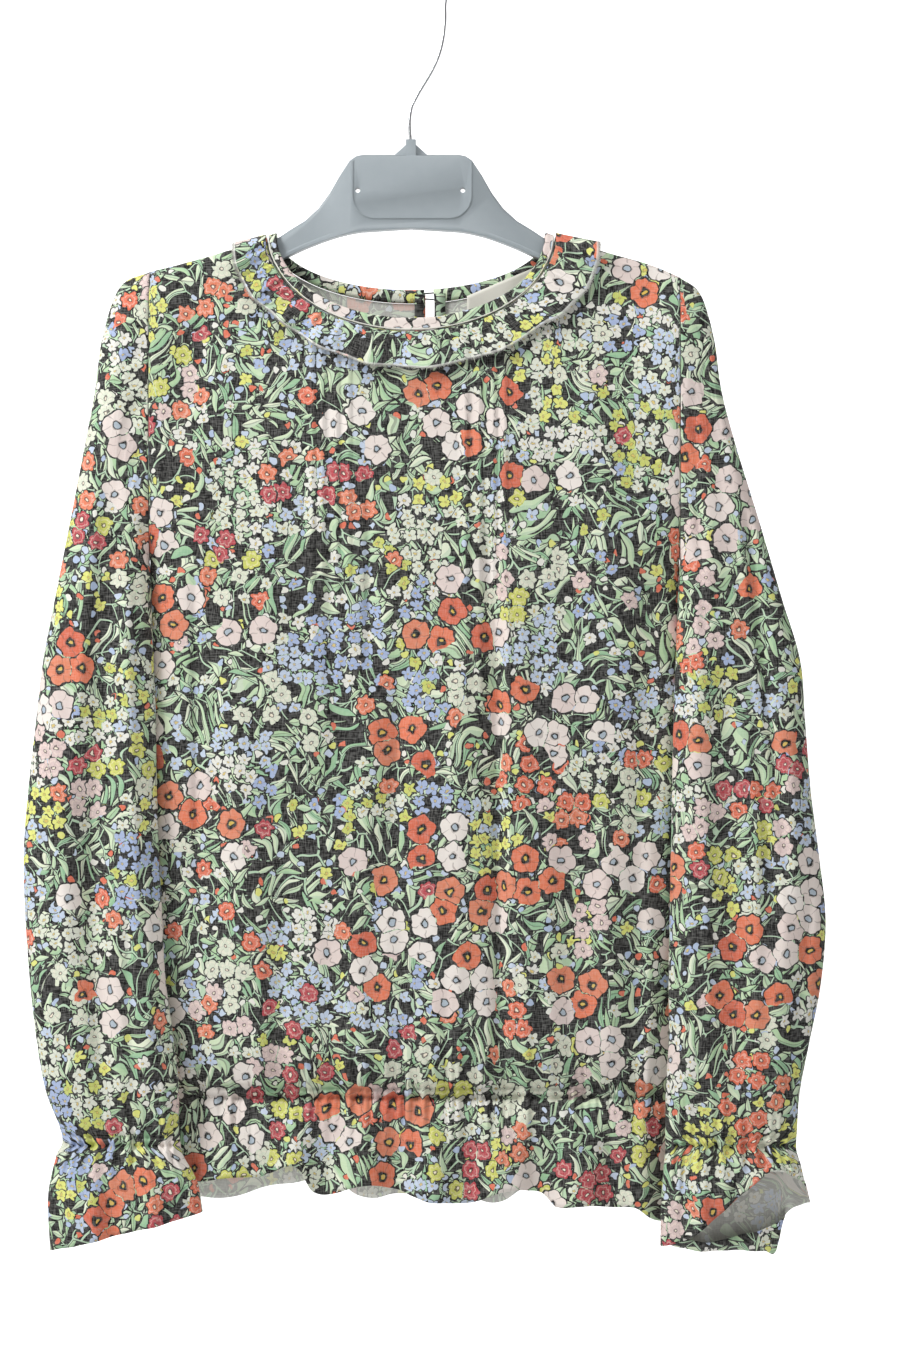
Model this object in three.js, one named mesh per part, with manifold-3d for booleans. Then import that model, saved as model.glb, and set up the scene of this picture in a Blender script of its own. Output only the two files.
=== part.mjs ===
import * as THREE from "three";
import { mergeVertices } from "three/addons/utils/BufferGeometryUtils.js";
import Module from "manifold-3d";

const wasm = await Module();
wasm.setup();

// A long-sleeved blouse on a moulded hanger. Millimetres, +Z up, the front faces -Y.
// The origin is the inside of the hook's top, where the hook hangs.

// Thicknesses and gaps
const CLOTH = 1.2;
const GAP = 0.3;
const LABEL_THICK = 0.6;
const BINDING_THICK = 1.0;

// Neckline: seam and free edge of the binding, as half widths and drops below the shoulder line
const NECK_HALF = 95;
const NECK_FREE_HALF = 88.5;
const NECK_DROP_FRONT = 65.3;
const NECK_DROP_BACK = 45;
const NECK_FREE_DROP_FRONT = 56.7;
const NECK_FREE_DROP_BACK = 36;
// Collar frill: outer edge
const FRILL_HALF_LEFT = 117;
const FRILL_HALF_RIGHT = 124;
const FRILL_DROP_FRONT = 89.7;
const FRILL_DROP_BACK = 72;
const FRILL_WAVES = 19;
const FRILL_WAVE_DEPTH = 1.7;
// Keyhole slit in the back
const KEYHOLE_X = 12.5;
const KEYHOLE_WIDTH = 6.4;
const KEYHOLE_BOTTOM = -296;
const BINDING_WIDTH = 7.5;
// Shoulders: the cloth turns over the hanger's arms in a quarter ellipse
const SHOULDER_LEFT = -172;
const SHOULDER_RIGHT = 177;
const TURN_HIGH = 8;
const TURN_DEEP = 7.5;
// Armholes
const UNDERARM_Z = -403;
const ARMHOLE_DEEP = 13;
// Body levels
const BODY_MID_X = 2.5;
const WAIST_Z = -756;

const clamp = (v, low, high) => Math.min(high, Math.max(low, v));
const mix = (a, b, t) => a + (b - a) * t;
const smooth = (t) => {
  const c = clamp(t, 0, 1);
  return c * c * (3 - 2 * c);
};

// A smooth curve through the rows of a table, read by the name of a column
function curve(rows, key) {
  const order = [...rows].sort((a, b) => a[key] - b[key]);
  return (name, at) => {
    if (at <= order[0][key]) return order[0][name];
    const last = order.length - 1;
    if (at >= order[last][key]) return order[last][name];
    let i = 0;
    while (order[i + 1][key] < at) i++;
    const slope = (j) => {
      const a = order[Math.max(j - 1, 0)];
      const b = order[Math.min(j + 1, last)];
      return (b[name] - a[name]) / (b[key] - a[key]);
    };
    const step = order[i + 1][key] - order[i][key];
    const t = (at - order[i][key]) / step;
    const t2 = t * t;
    const t3 = t2 * t;
    return (
      (2 * t3 - 3 * t2 + 1) * order[i][name] +
      (t3 - 2 * t2 + t) * step * slope(i) +
      (3 * t2 - 2 * t3) * order[i + 1][name] +
      (t3 - t2) * step * slope(i + 1)
    );
  };
}

// Shoulder line across the garment, flat between the neck points
const shoulder = curve(
  [
    { x: -195, z: -222.5 },
    { x: -185, z: -217.6 },
    { x: -172, z: -213 },
    { x: -158, z: -209.5 },
    { x: -132, z: -202.4 },
    { x: -110, z: -195.4 },
    { x: -95, z: -190.3 },
    { x: -88, z: -188 },
    { x: 88, z: -188 },
    { x: 95, z: -190 },
    { x: 110, z: -194.6 },
    { x: 132, z: -201 },
    { x: 158, z: -208.4 },
    { x: 177, z: -216.5 },
    { x: 188, z: -223 },
    { x: 195, z: -228 },
  ],
  "x",
);
const shoulderZ = (x) => (Math.abs(x) < 88 ? -188 : shoulder("z", x));

// Side edges of the body, and how far the front and back stand off the middle plane
const body = curve(
  [
    { z: -200, left: -172, right: 177, front: 10, back: 9 },
    { z: -260, left: -172, right: 177, front: 14, back: 11 },
    { z: -330, left: -172, right: 177, front: 15, back: 12.5 },
    { z: -403, left: -172, right: 177, front: 16, back: 13 },
    { z: -500, left: -172, right: 177, front: 18, back: 14 },
    { z: -600, left: -171, right: 176.5, front: 20, back: 15 },
    { z: -680, left: -168.5, right: 175, front: 23, back: 16.5 },
    { z: -725, left: -165, right: 173.5, front: 25, back: 18 },
    { z: -745, left: -162, right: 172, front: 20, back: 15.5 },
    { z: -756, left: -160.5, right: 171.5, front: 16, back: 12.5 },
    { z: -768, left: -160, right: 172, front: 19, back: 14.5 },
    { z: -800, left: -159, right: 173, front: 22, back: 17 },
    { z: -840, left: -158, right: 174, front: 24, back: 19 },
  ],
  "z",
);

// Front pintucks: where each stands at the chest
const TUCKS = [
  { x: -64 },
  { x: -57.4 },
  { x: -48.2 },
  { x: -40.3 },
  { x: 36.3 },
  { x: 45.5 },
  { x: 54.8 },
  { x: 62 },
];
const TUCK_TOP = -256;
const TUCK_END = -425;
const TUCK_HIGH = 1.3;
const TUCK_PRESSED = 1.6;

// Long soft folds of the body: a ridge stands out, a trough (below 0) goes in
const FRONT_FOLDS = [
  { top: -395, topX: -25, end: -480, endX: -27, wide: 7, out: -2.5 },
  { top: -385, topX: -50, end: -560, endX: -46, wide: 9, out: -3 },
  { top: -470, topX: -8, end: -620, endX: -12, wide: 11, out: -3.5 },
  { top: -380, topX: 52, end: -760, endX: 62, wide: 8, out: -4 },
  { top: -400, topX: 70, end: -740, endX: 76, wide: 10, out: 3 },
  { top: -440, topX: 33, end: -700, endX: 30, wide: 12, out: 2.5 },
  { top: -430, topX: -137, end: -640, endX: -135, wide: 9, out: -4 },
  { top: -480, topX: -112, end: -745, endX: -108, wide: 13, out: 3 },
  { top: -300, topX: 118, end: -480, endX: 150, wide: 16, out: 2 },
  { top: -420, topX: 158, end: -720, endX: 150, wide: 10, out: -4 },
  { top: -560, topX: 112, end: -750, endX: 106, wide: 12, out: -3 },
  { top: -600, topX: -78, end: -750, endX: -84, wide: 11, out: -3 },
  { top: -250, topX: -125, end: -430, endX: -150, wide: 14, out: 1.5 },
];
const BACK_FOLDS = [
  { top: -330, topX: -60, end: -740, endX: -72, wide: 14, out: 3 },
  { top: -380, topX: 20, end: -740, endX: 8, wide: 13, out: -3 },
  { top: -340, topX: 86, end: -740, endX: 95, wide: 14, out: 3 },
  { top: -430, topX: 50, end: -745, endX: 46, wide: 11, out: -2.5 },
  { top: -450, topX: -118, end: -745, endX: -112, wide: 13, out: -3 },
  { top: -440, topX: 140, end: -745, endX: 134, wide: 12, out: -3 },
  { top: -520, topX: -30, end: -745, endX: -34, wide: 11, out: 2.5 },
];

// Hem heights across the front and the back, and the waves of the hem frill
const hem = curve(
  [
    { x: -150, front: -813, back: -826 },
    { x: -133, front: -811, back: -825.5 },
    { x: -100, front: -806, back: -822 },
    { x: -80, front: -801, back: -816 },
    { x: -72, front: -804, back: -814 },
    { x: -64, front: -816, back: -814 },
    { x: -50, front: -817, back: -814 },
    { x: -38, front: -820, back: -816 },
    { x: -24, front: -826, back: -820 },
    { x: 0, front: -826.5, back: -822 },
    { x: 14, front: -824, back: -819 },
    { x: 30, front: -823.5, back: -817 },
    { x: 46, front: -828, back: -820 },
    { x: 62, front: -826, back: -820 },
    { x: 80, front: -820, back: -816 },
    { x: 90, front: -820, back: -815 },
    { x: 102, front: -828, back: -820 },
    { x: 130, front: -826, back: -821 },
    { x: 146, front: -828, back: -823 },
    { x: 158, front: -836, back: -828 },
    { x: 172, front: -838, back: -833 },
  ],
  "x",
);
const HEM_WAVES = [
  { x: -122, wide: 15, front: 4, back: -3 },
  { x: -97, wide: 12, front: -4, back: 3.5 },
  { x: -74, wide: 12, front: 5, back: -3 },
  { x: -55, wide: 10, front: -4.5, back: 3 },
  { x: -34, wide: 12, front: 4, back: -3.5 },
  { x: -10, wide: 13, front: -4.5, back: 4 },
  { x: 16, wide: 13, front: 4.5, back: -3 },
  { x: 38, wide: 11, front: -4, back: 3 },
  { x: 58, wide: 12, front: 4, back: -4 },
  { x: 84, wide: 14, front: -5, back: 3.5 },
  { x: 108, wide: 12, front: 4.5, back: -3 },
  { x: 132, wide: 12, front: -3.5, back: 3 },
  { x: 152, wide: 10, front: 3, back: -2.5 },
];
const GATHER_PITCH = 15;
const GATHER_DEEP = 1.1;

const bell = (d, wide) => Math.exp(-((d / wide) ** 2));
const within = (z, top, end, fade) =>
  smooth((top + fade * 0.5 - z) / fade) * smooth((z - end + fade * 0.5) / fade);

// Armhole loop: half depth at a height
function armholeHalf(z, topZ) {
  const middle = (topZ + UNDERARM_Z) / 2;
  const reach = clamp((z - middle) / ((topZ - UNDERARM_Z) / 2), -1, 1);
  return z < UNDERARM_Z ? 0 : ARMHOLE_DEEP * Math.sqrt(1 - reach ** 4);
}

function foldsAt(rows, x, z) {
  let sum = 0;
  for (const f of rows) {
    const at = mix(f.topX, f.endX, clamp((f.top - z) / (f.top - f.end), 0, 1));
    sum += f.out * bell(x - at, f.wide) * within(z, f.top, f.end, 60);
  }
  return sum;
}

function tucksAt(x, z) {
  let sum = 0;
  const pressed = within(z, TUCK_TOP, TUCK_END, 14);
  const loose = within(z, TUCK_END, TUCK_END - 60, 50);
  for (const t of TUCKS) {
    const d = x - t.x;
    const side = d < 0 ? 1 - clamp(-d / 6, 0, 1) : 1 - clamp(d / TUCK_PRESSED, 0, 1);
    sum += TUCK_HIGH * side * pressed + 0.8 * bell(d, 3) * loose;
  }
  return sum;
}

// How far the front (side -1) or back (side 1) stands off the middle plane at x, z
function standOff(side, x, z) {
  const name = side < 0 ? "front" : "back";
  const left = x < BODY_MID_X;
  const edge = body(left ? "left" : "right", z);
  const across = clamp(Math.abs((x - BODY_MID_X) / (edge - BODY_MID_X)), 0, 1);
  const profile = Math.sqrt(1 - across ** 6);
  const below = shoulderZ(x) - TURN_HIGH - z;
  let deep = mix(TURN_DEEP, body(name, z), smooth(below / 130));
  deep += (side < 0 ? 4 : 3) * bell(z + 246, 34) * bell(x, 62);
  deep += side < 0 ? foldsAt(FRONT_FOLDS, x, z) : foldsAt(BACK_FOLDS, x, z);
  const gathers = Math.sin((x * 2 * Math.PI) / GATHER_PITCH + 2 * Math.sin(x / 31));
  deep += gathers * GATHER_DEEP * bell(z - WAIST_Z, 20);
  const frill = smooth((WAIST_Z - z) / 62);
  for (const w of HEM_WAVES) deep += w[name] * bell(x - w.x, w.wide) * frill;
  const atEdge = armholeHalf(z, left ? -213 : -216.5);
  const tucks = side < 0 ? tucksAt(x, z) : 0;
  return Math.hypot(deep * profile, atEdge * smooth((across - 0.72) / 0.28)) + tucks;
}

const TURN_LONG = (TURN_HIGH * Math.PI) / 2;

// A point on the front or back, s mm below the shoulder line, lifted off the cloth
function onBody(side, x, s, lift = 0) {
  const top = shoulderZ(x);
  const point = new THREE.Vector3(x, 0, top - TURN_HIGH - (s - TURN_LONG));
  if (s >= TURN_LONG) {
    point.y = side * (standOff(side, x, point.z) + lift);
  } else {
    const turn = s / TURN_HIGH;
    point.y = side * (standOff(side, x, top - TURN_HIGH) + lift) * Math.sin(turn);
    point.z = top - TURN_HIGH + (TURN_HIGH + lift) * Math.cos(turn);
  }
  point.under = (thick) => onBody(side, x, s, lift - thick);
  return point;
}

// The length below the shoulder line that reaches a height
function lengthTo(x, z) {
  const down = shoulderZ(x) - z;
  if (down >= TURN_HIGH) return TURN_LONG + down - TURN_HIGH;
  return TURN_HIGH * Math.acos(clamp(1 - down / TURN_HIGH, -1, 1));
}

// One closed wall from a grid of outer points: rows of columns, thickness to the inside
// fix(inner, outer, row, column) keeps the rims in their planes
function wallGeometry(grid, thick, sign, round, fix) {
  const rows = grid.length;
  const columns = grid[0].length;
  const atColumn = (c) => (round ? (c + columns) % columns : clamp(c, 0, columns - 1));
  const at = (r, c) => grid[clamp(r, 0, rows - 1)][atColumn(c)];
  const inner = grid.map((row, r) =>
    row.map((p, c) => {
      const across = at(r, c + 1).clone().sub(at(r, c - 1));
      const down = at(r + 1, c).clone().sub(at(r - 1, c));
      const normal = across.cross(down).normalize().multiplyScalar(sign);
      const q = p.clone().addScaledVector(normal, -thick);
      return fix ? fix(q, p, r, c) : q;
    }),
  );
  const points = [];
  for (const set of [grid, inner]) {
    for (const row of set) for (const p of row) points.push(p.x, p.y, p.z);
  }
  const index = [];
  const id = (layer, r, c) => layer * rows * columns + r * columns + (round ? c % columns : c);
  const quad = (a, b, c, d) => index.push(a, b, c, a, c, d);
  const spans = round ? columns : columns - 1;
  for (let r = 0; r < rows - 1; r++) {
    for (let c = 0; c < spans; c++) {
      quad(id(0, r, c), id(0, r, c + 1), id(0, r + 1, c + 1), id(0, r + 1, c));
      quad(id(1, r, c), id(1, r + 1, c), id(1, r + 1, c + 1), id(1, r, c + 1));
    }
  }
  for (let c = 0; c < spans; c++) {
    quad(id(0, 0, c), id(1, 0, c), id(1, 0, c + 1), id(0, 0, c + 1));
    const r = rows - 1;
    quad(id(0, r, c), id(0, r, c + 1), id(1, r, c + 1), id(1, r, c));
  }
  if (!round) {
    const last = columns - 1;
    for (let r = 0; r < rows - 1; r++) {
      quad(id(0, r, 0), id(0, r + 1, 0), id(1, r + 1, 0), id(1, r, 0));
      quad(id(0, r, last), id(1, r, last), id(1, r + 1, last), id(0, r + 1, last));
    }
  }
  const geometry = new THREE.BufferGeometry();
  geometry.setAttribute("position", new THREE.Float32BufferAttribute(points, 3));
  geometry.setIndex(index);
  return facingOut(geometry);
}

function facingOut(geometry) {
  const p = geometry.getAttribute("position");
  const i = geometry.getIndex();
  let volume = 0;
  const a = new THREE.Vector3();
  const b = new THREE.Vector3();
  const c = new THREE.Vector3();
  for (let k = 0; k < i.count; k += 3) {
    a.fromBufferAttribute(p, i.getX(k));
    b.fromBufferAttribute(p, i.getX(k + 1));
    c.fromBufferAttribute(p, i.getX(k + 2));
    volume += a.dot(b.cross(c));
  }
  if (volume < 0) {
    for (let k = 0; k < i.count; k += 3) {
      const keep = i.getX(k + 1);
      i.setX(k + 1, i.getX(k + 2));
      i.setX(k + 2, keep);
    }
  }
  return geometry;
}

function toSolid(geometry) {
  const g = geometry.clone();
  g.deleteAttribute("normal");
  g.deleteAttribute("uv");
  const merged = mergeVertices(g, 1e-4);
  const corners = merged.index.array;
  const kept = [];
  for (let k = 0; k < corners.length; k += 3) {
    const [a, b, c] = corners.slice(k, k + 3);
    if (a !== b && b !== c && c !== a) kept.push(a, b, c);
  }
  return new wasm.Manifold(
    new wasm.Mesh({
      numProp: 3,
      vertProperties: new Float32Array(merged.attributes.position.array),
      triVerts: new Uint32Array(kept),
    }),
  );
}

function fromSolid(solid) {
  const mesh = solid.getMesh();
  const count = mesh.vertProperties.length / mesh.numProp;
  const points = new Float32Array(count * 3);
  for (let k = 0; k < count; k++) {
    for (let j = 0; j < 3; j++) points[3 * k + j] = mesh.vertProperties[mesh.numProp * k + j];
  }
  const geometry = new THREE.BufferGeometry();
  geometry.setAttribute("position", new THREE.BufferAttribute(points, 3));
  geometry.setIndex(new THREE.BufferAttribute(new Uint32Array(mesh.triVerts), 1));
  return geometry;
}

const group = new THREE.Group();
group.name = "blouse_on_a_hanger";

function add(name, geometry, material) {
  const flat = geometry.index ? geometry.toNonIndexed() : geometry;
  flat.deleteAttribute("normal");
  flat.computeVertexNormals();
  const mesh = new THREE.Mesh(flat, material);
  mesh.name = name;
  group.add(mesh);
}

const cloth = () =>
  new THREE.MeshStandardMaterial({ color: 0x8f8f7c, roughness: 0.9, metalness: 0 });
const plastic = new THREE.MeshStandardMaterial({ color: 0xa3abaf, roughness: 0.45, metalness: 0 });
const steel = new THREE.MeshStandardMaterial({ color: 0xb4b6b8, roughness: 0.3, metalness: 1 });
const tape = new THREE.MeshStandardMaterial({ color: 0xdedbd0, roughness: 0.85, metalness: 0 });
const shell = new THREE.MeshStandardMaterial({ color: 0x3a3836, roughness: 0.35, metalness: 0 });

// Front and back panels
const FULL_LEFT = [
  -172, -169, -161, -147, -131, -115, -102, -95, -94.3, -92.4, -88.6, -83, -76.6, -70.5,
];
const FULL_RIGHT = [
  70.5, 76.6, 83, 88.6, 92.4, 94.3, 95, 103, 118, 135, 151, 165, 174, 177,
];
const FRONT_COLUMNS = [
  ...FULL_LEFT,
  ...TUCKS.slice(0, 4).flatMap((t) => [t.x, t.x + TUCK_PRESSED]),
  -29,
  -19,
  -9,
  0,
  10,
  20,
  29,
  ...TUCKS.slice(4).flatMap((t) => [t.x, t.x + TUCK_PRESSED]),
  ...FULL_RIGHT,
];
const BACK_COLUMNS = [...FULL_LEFT, -55, -40, -25, -8, 4, 15, 28, 42, 57, ...FULL_RIGHT];
const YOKE_Z = -300;
const YOKE_SHARES = [0, 0.03, 0.075, 0.15, 0.32, 0.6, 1];
const LEVELS = [
  -335, -368, -388, -398, -403, -430, -480, -540, -600, -660, -705, -738, -756, -770,
];
const FRILL_SHARES = [0.5, 1];

// Columns that crowd at the neck corner, and where each has spread to below the yoke
const cornerLow = curve(
  [
    { x: 70.5, low: 70.5 },
    { x: 76.6, low: 75.8 },
    { x: 83, low: 81.4 },
    { x: 88.6, low: 87 },
    { x: 92.4, low: 92.6 },
    { x: 94.3, low: 98 },
    { x: 95, low: 103.5 },
    { x: 103, low: 110 },
    { x: 118, low: 121 },
    { x: 135, low: 135 },
  ],
  "x",
);
const lowX = (x) => {
  const reach = Math.abs(x);
  return reach > 70 && reach < 135 ? Math.sign(x) * cornerLow("low", reach) : x;
};

function panelGrid(side, columns) {
  const name = side < 0 ? "front" : "back";
  const drop = side < 0 ? NECK_DROP_FRONT : NECK_DROP_BACK;
  const grid = [];
  const startOf = (x) => {
    const share = Math.abs(x / NECK_HALF);
    return share >= 1 ? 0 : lengthTo(x, shoulderZ(x) - drop * Math.sqrt(1 - share ** 2));
  };
  for (const f of YOKE_SHARES) {
    grid.push(
      columns.map((x) => {
        const at = mix(x, lowX(x), f);
        return onBody(side, at, mix(startOf(x), lengthTo(at, YOKE_Z), f));
      }),
    );
  }
  const placed = (x, z) => {
    const left = x < BODY_MID_X;
    const chest = (left ? SHOULDER_LEFT : SHOULDER_RIGHT) - BODY_MID_X;
    return mix(BODY_MID_X, body(left ? "left" : "right", z), (lowX(x) - BODY_MID_X) / chest);
  };
  for (const z of LEVELS) {
    grid.push(columns.map((x) => onBody(side, placed(x, z), lengthTo(placed(x, z), z))));
  }
  const frillTop = LEVELS[LEVELS.length - 1];
  for (const f of FRILL_SHARES) {
    grid.push(
      columns.map((x) => {
        const at = placed(x, -800);
        const z = mix(frillTop, hem(name, at), f);
        return onBody(side, at, lengthTo(at, z));
      }),
    );
  }
  for (const row of grid) for (const p of row) p.y = side * Math.max(side * p.y, GAP / 2);
  return grid;
}

const keepSide = (side) => (q, p, r) => {
  const inner = r < YOKE_SHARES.length ? p.under(CLOTH) : q;
  inner.y = side * Math.max(side * inner.y, GAP / 2);
  return inner;
};
add("front", wallGeometry(panelGrid(-1, FRONT_COLUMNS), CLOTH, -1, false, keepSide(-1)), cloth());

// The keyhole goes right through the back, round at its lower end
function slot(wide, bottom, top, near, far) {
  const shape = new THREE.Shape();
  shape.moveTo(-wide / 2, top);
  shape.lineTo(-wide / 2, bottom + wide / 2);
  shape.absarc(0, bottom + wide / 2, wide / 2, Math.PI, 2 * Math.PI, false);
  shape.lineTo(wide / 2, top);
  const g = new THREE.ExtrudeGeometry(shape, { depth: far - near, bevelEnabled: false, curveSegments: 8 });
  g.rotateX(Math.PI / 2);
  g.translate(KEYHOLE_X, far, 0);
  return toSolid(g);
}
const backWall = toSolid(wallGeometry(panelGrid(1, BACK_COLUMNS), CLOTH, 1, false, keepSide(1)));
const slit = slot(KEYHOLE_WIDTH, KEYHOLE_BOTTOM, -200, 0.5, 60);
add("back", fromSolid(backWall.subtract(slit)), cloth());

// Binding of the keyhole, flat on the inside of the back
function patchGrid(side, lift, columns, rows, place) {
  const grid = [];
  for (let r = 0; r <= rows; r++) {
    const row = [];
    for (let c = 0; c <= columns; c++) {
      const at = place(c / columns, r / rows);
      row.push(onBody(side, at.x, lengthTo(at.x, at.z), lift));
    }
    grid.push(row);
  }
  return grid;
}
const seamBackZ = (x) => shoulderZ(x) - NECK_DROP_BACK * Math.sqrt(1 - (x / NECK_HALF) ** 2);
const bindingHalf = KEYHOLE_WIDTH / 2 + BINDING_WIDTH;
const bindingGrid = patchGrid(1, -CLOTH - GAP - 0.1, 6, 5, (u, v) => {
  const x = KEYHOLE_X + mix(-bindingHalf, bindingHalf, u);
  return { x, z: mix(seamBackZ(x) - 1, KEYHOLE_BOTTOM - BINDING_WIDTH, v) };
});
const bindingWall = toSolid(wallGeometry(bindingGrid, BINDING_THICK, 1, false));
add("keyhole_binding", fromSolid(bindingWall.subtract(slit)), cloth());

// Neck binding and collar frill run from one side of the keyhole round the front to the other
function aroundNeck(turn, half, dropFront, dropBack, power) {
  const front = Math.sin(turn) >= 0;
  const x = half * Math.cos(turn);
  const drop = (front ? dropFront : dropBack) * Math.abs(Math.sin(turn)) ** power;
  return { side: front ? -1 : 1, x, z: shoulderZ(x) - drop };
}
const neckFrom = 2 * Math.PI - Math.acos((KEYHOLE_X - KEYHOLE_WIDTH / 2) / NECK_HALF);
const neckTo = -Math.acos((KEYHOLE_X + KEYHOLE_WIDTH / 2) / NECK_HALF);

function neckStrip(turns, rows, place) {
  const grid = [];
  for (let r = 0; r <= rows; r++) {
    grid.push(
      turns.map((turn) => {
        const spot = place(turn, r / rows);
        return onBody(spot.side, spot.x, lengthTo(spot.x, spot.z), spot.lift);
      }),
    );
  }
  return grid;
}

// The binding has its points at the columns of the panels, so that the two seams run alike
const inNeck = (x) => Math.abs(x) <= NECK_HALF;
const overLeft = BACK_COLUMNS.filter((x) => inNeck(x) && x < KEYHOLE_X - KEYHOLE_WIDTH / 2 - 3);
const overRight = BACK_COLUMNS.filter((x) => inNeck(x) && x > KEYHOLE_X + KEYHOLE_WIDTH / 2 + 2);
const bandTurns = [
  neckFrom,
  ...overLeft.reverse().map((x) => 2 * Math.PI - Math.acos(x / NECK_HALF)),
  ...FRONT_COLUMNS.filter((x) => inNeck(x) && x > -NECK_HALF).map((x) => Math.acos(x / NECK_HALF)),
  ...overRight.reverse().slice(1).map((x) => -Math.acos(x / NECK_HALF)),
  neckTo,
];
const bandGrid = neckStrip(bandTurns, 1, (turn, w) => ({
  ...aroundNeck(
    turn,
    mix(NECK_HALF - 1.1, NECK_FREE_HALF, w),
    mix(NECK_DROP_FRONT - GAP, NECK_FREE_DROP_FRONT, w),
    mix(NECK_DROP_BACK - GAP, NECK_FREE_DROP_BACK, w),
    1,
  ),
  lift: 0,
}));
const bandInner = (q, p) => p.under(CLOTH);
add("neck_band", wallGeometry(bandGrid, CLOTH, 1, false, bandInner), cloth());

// Frill points lie closer where it goes over a shoulder
const eased = (t) => mix(t, smooth(t), 0.78);
const spread = (from, to, steps, ease) => {
  const list = [];
  for (let k = 1; k <= steps; k++) list.push(mix(from, to, ease(k / steps)));
  return list;
};
const frillTurns = [
  neckFrom,
  ...spread(neckFrom, Math.PI, 20, (t) => 2 * eased(0.5 + t / 2) - 1),
  ...spread(Math.PI, 0, 42, eased),
  ...spread(0, neckTo, 20, (t) => 2 * eased(t / 2)),
];
const frillGrid = neckStrip(frillTurns, 3, (turn, w) => {
  const half = Math.cos(turn) < 0 ? FRILL_HALF_LEFT : FRILL_HALF_RIGHT;
  const wave = Math.sin(turn * FRILL_WAVES + 1.6 * Math.sin(turn * 2.7));
  const spot = aroundNeck(
    turn,
    mix(NECK_HALF + 0.6, half, w),
    mix(NECK_DROP_FRONT + 0.6, FRILL_DROP_FRONT, w),
    mix(NECK_DROP_BACK + 0.6, FRILL_DROP_BACK, w),
    mix(1, 1.12, w),
  );
  // The two ends drop straight down beside the keyhole
  const end = turn > 1 ? neckFrom : neckTo;
  const near = smooth(1 - Math.abs(turn - end) / 0.7);
  spot.x -= mix(0.6, half - NECK_HALF, w) * Math.cos(end) * near;
  spot.lift = CLOTH + GAP + 0.2 + w * (3.4 + FRILL_WAVE_DEPTH * wave);
  return spot;
});
add("collar_frill", wallGeometry(frillGrid, CLOTH, -1, false, bandInner), cloth());

// Button on the outside of the back, and the loop that crosses the keyhole to it
const backOuter = (x, z) => onBody(1, x, lengthTo(x, z), 0).y;
const BUTTON_X = KEYHOLE_X + KEYHOLE_WIDTH / 2 + 5;
const BUTTON_Z = -227.8;
const LOOP_THICK = 1;
const button = new THREE.LatheGeometry(
  [
    { r: 0, h: 0 },
    { r: 2.2, h: 0 },
    { r: 3, h: 0.6 },
    { r: 3, h: 1.3 },
    { r: 2.5, h: 1.9 },
    { r: 1.5, h: 2.1 },
    { r: 0, h: 2.2 },
  ].map((p) => new THREE.Vector2(p.r, p.h)),
  18,
);
const onBand = Math.max(backOuter(BUTTON_X - 3, BUTTON_Z), backOuter(KEYHOLE_X, BUTTON_Z)) + 0.2;
button.translate(BUTTON_X, onBand + GAP, -BUTTON_Z);
button.applyMatrix4(new THREE.Matrix4().makeScale(1, 1, -1));
add("button", facingOut(mergeVertices(button, 1e-4)), shell);

// A line through points as a closed-ended tube
function tube(points, thick, steps, segments) {
  const round = new THREE.Shape();
  round.absarc(0, 0, thick / 2, 0, 2 * Math.PI, false);
  return new THREE.ExtrudeGeometry(round, {
    steps,
    curveSegments: segments,
    bevelEnabled: false,
    extrudePath: new THREE.CatmullRomCurve3(points, false, "centripetal"),
  });
}
const loopY = onBand + GAP + LOOP_THICK / 2;
const loopRound = 3 + GAP + LOOP_THICK / 2;
const loopEnd = KEYHOLE_X - KEYHOLE_WIDTH / 2 - 5;
const loopPoints = [
  { x: loopEnd, z: 1.6 },
  { x: BUTTON_X - 5, z: 2.4 },
  ...[100, 70, 35, 0, -35, -70, -100].map((angle) => ({
    x: BUTTON_X + loopRound * Math.cos((angle * Math.PI) / 180),
    z: loopRound * Math.sin((angle * Math.PI) / 180),
  })),
  { x: BUTTON_X - 5, z: -2.4 },
  { x: loopEnd, z: -1.6 },
].map((p) => new THREE.Vector3(p.x, loopY, BUTTON_Z + p.z));
add("button_loop", tube(loopPoints, LOOP_THICK, 26, 3), cloth());

// Label, hung inside the back from below the neck binding
const LABEL = [
  { x: 37, top: -228, low: -247 },
  { x: 87, top: -207, low: -226 },
];
const labelGrid = patchGrid(1, -CLOTH - GAP - 0.2, 8, 3, (u, v) => {
  const a = LABEL[0];
  const b = LABEL[1];
  const x = mix(a.x, b.x, u) - 6 * v * u;
  return { x, z: mix(mix(a.top, b.top, u), mix(a.low, b.low, u), v) };
});
add("label", wallGeometry(labelGrid, LABEL_THICK, 1, false), tape);

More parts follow.
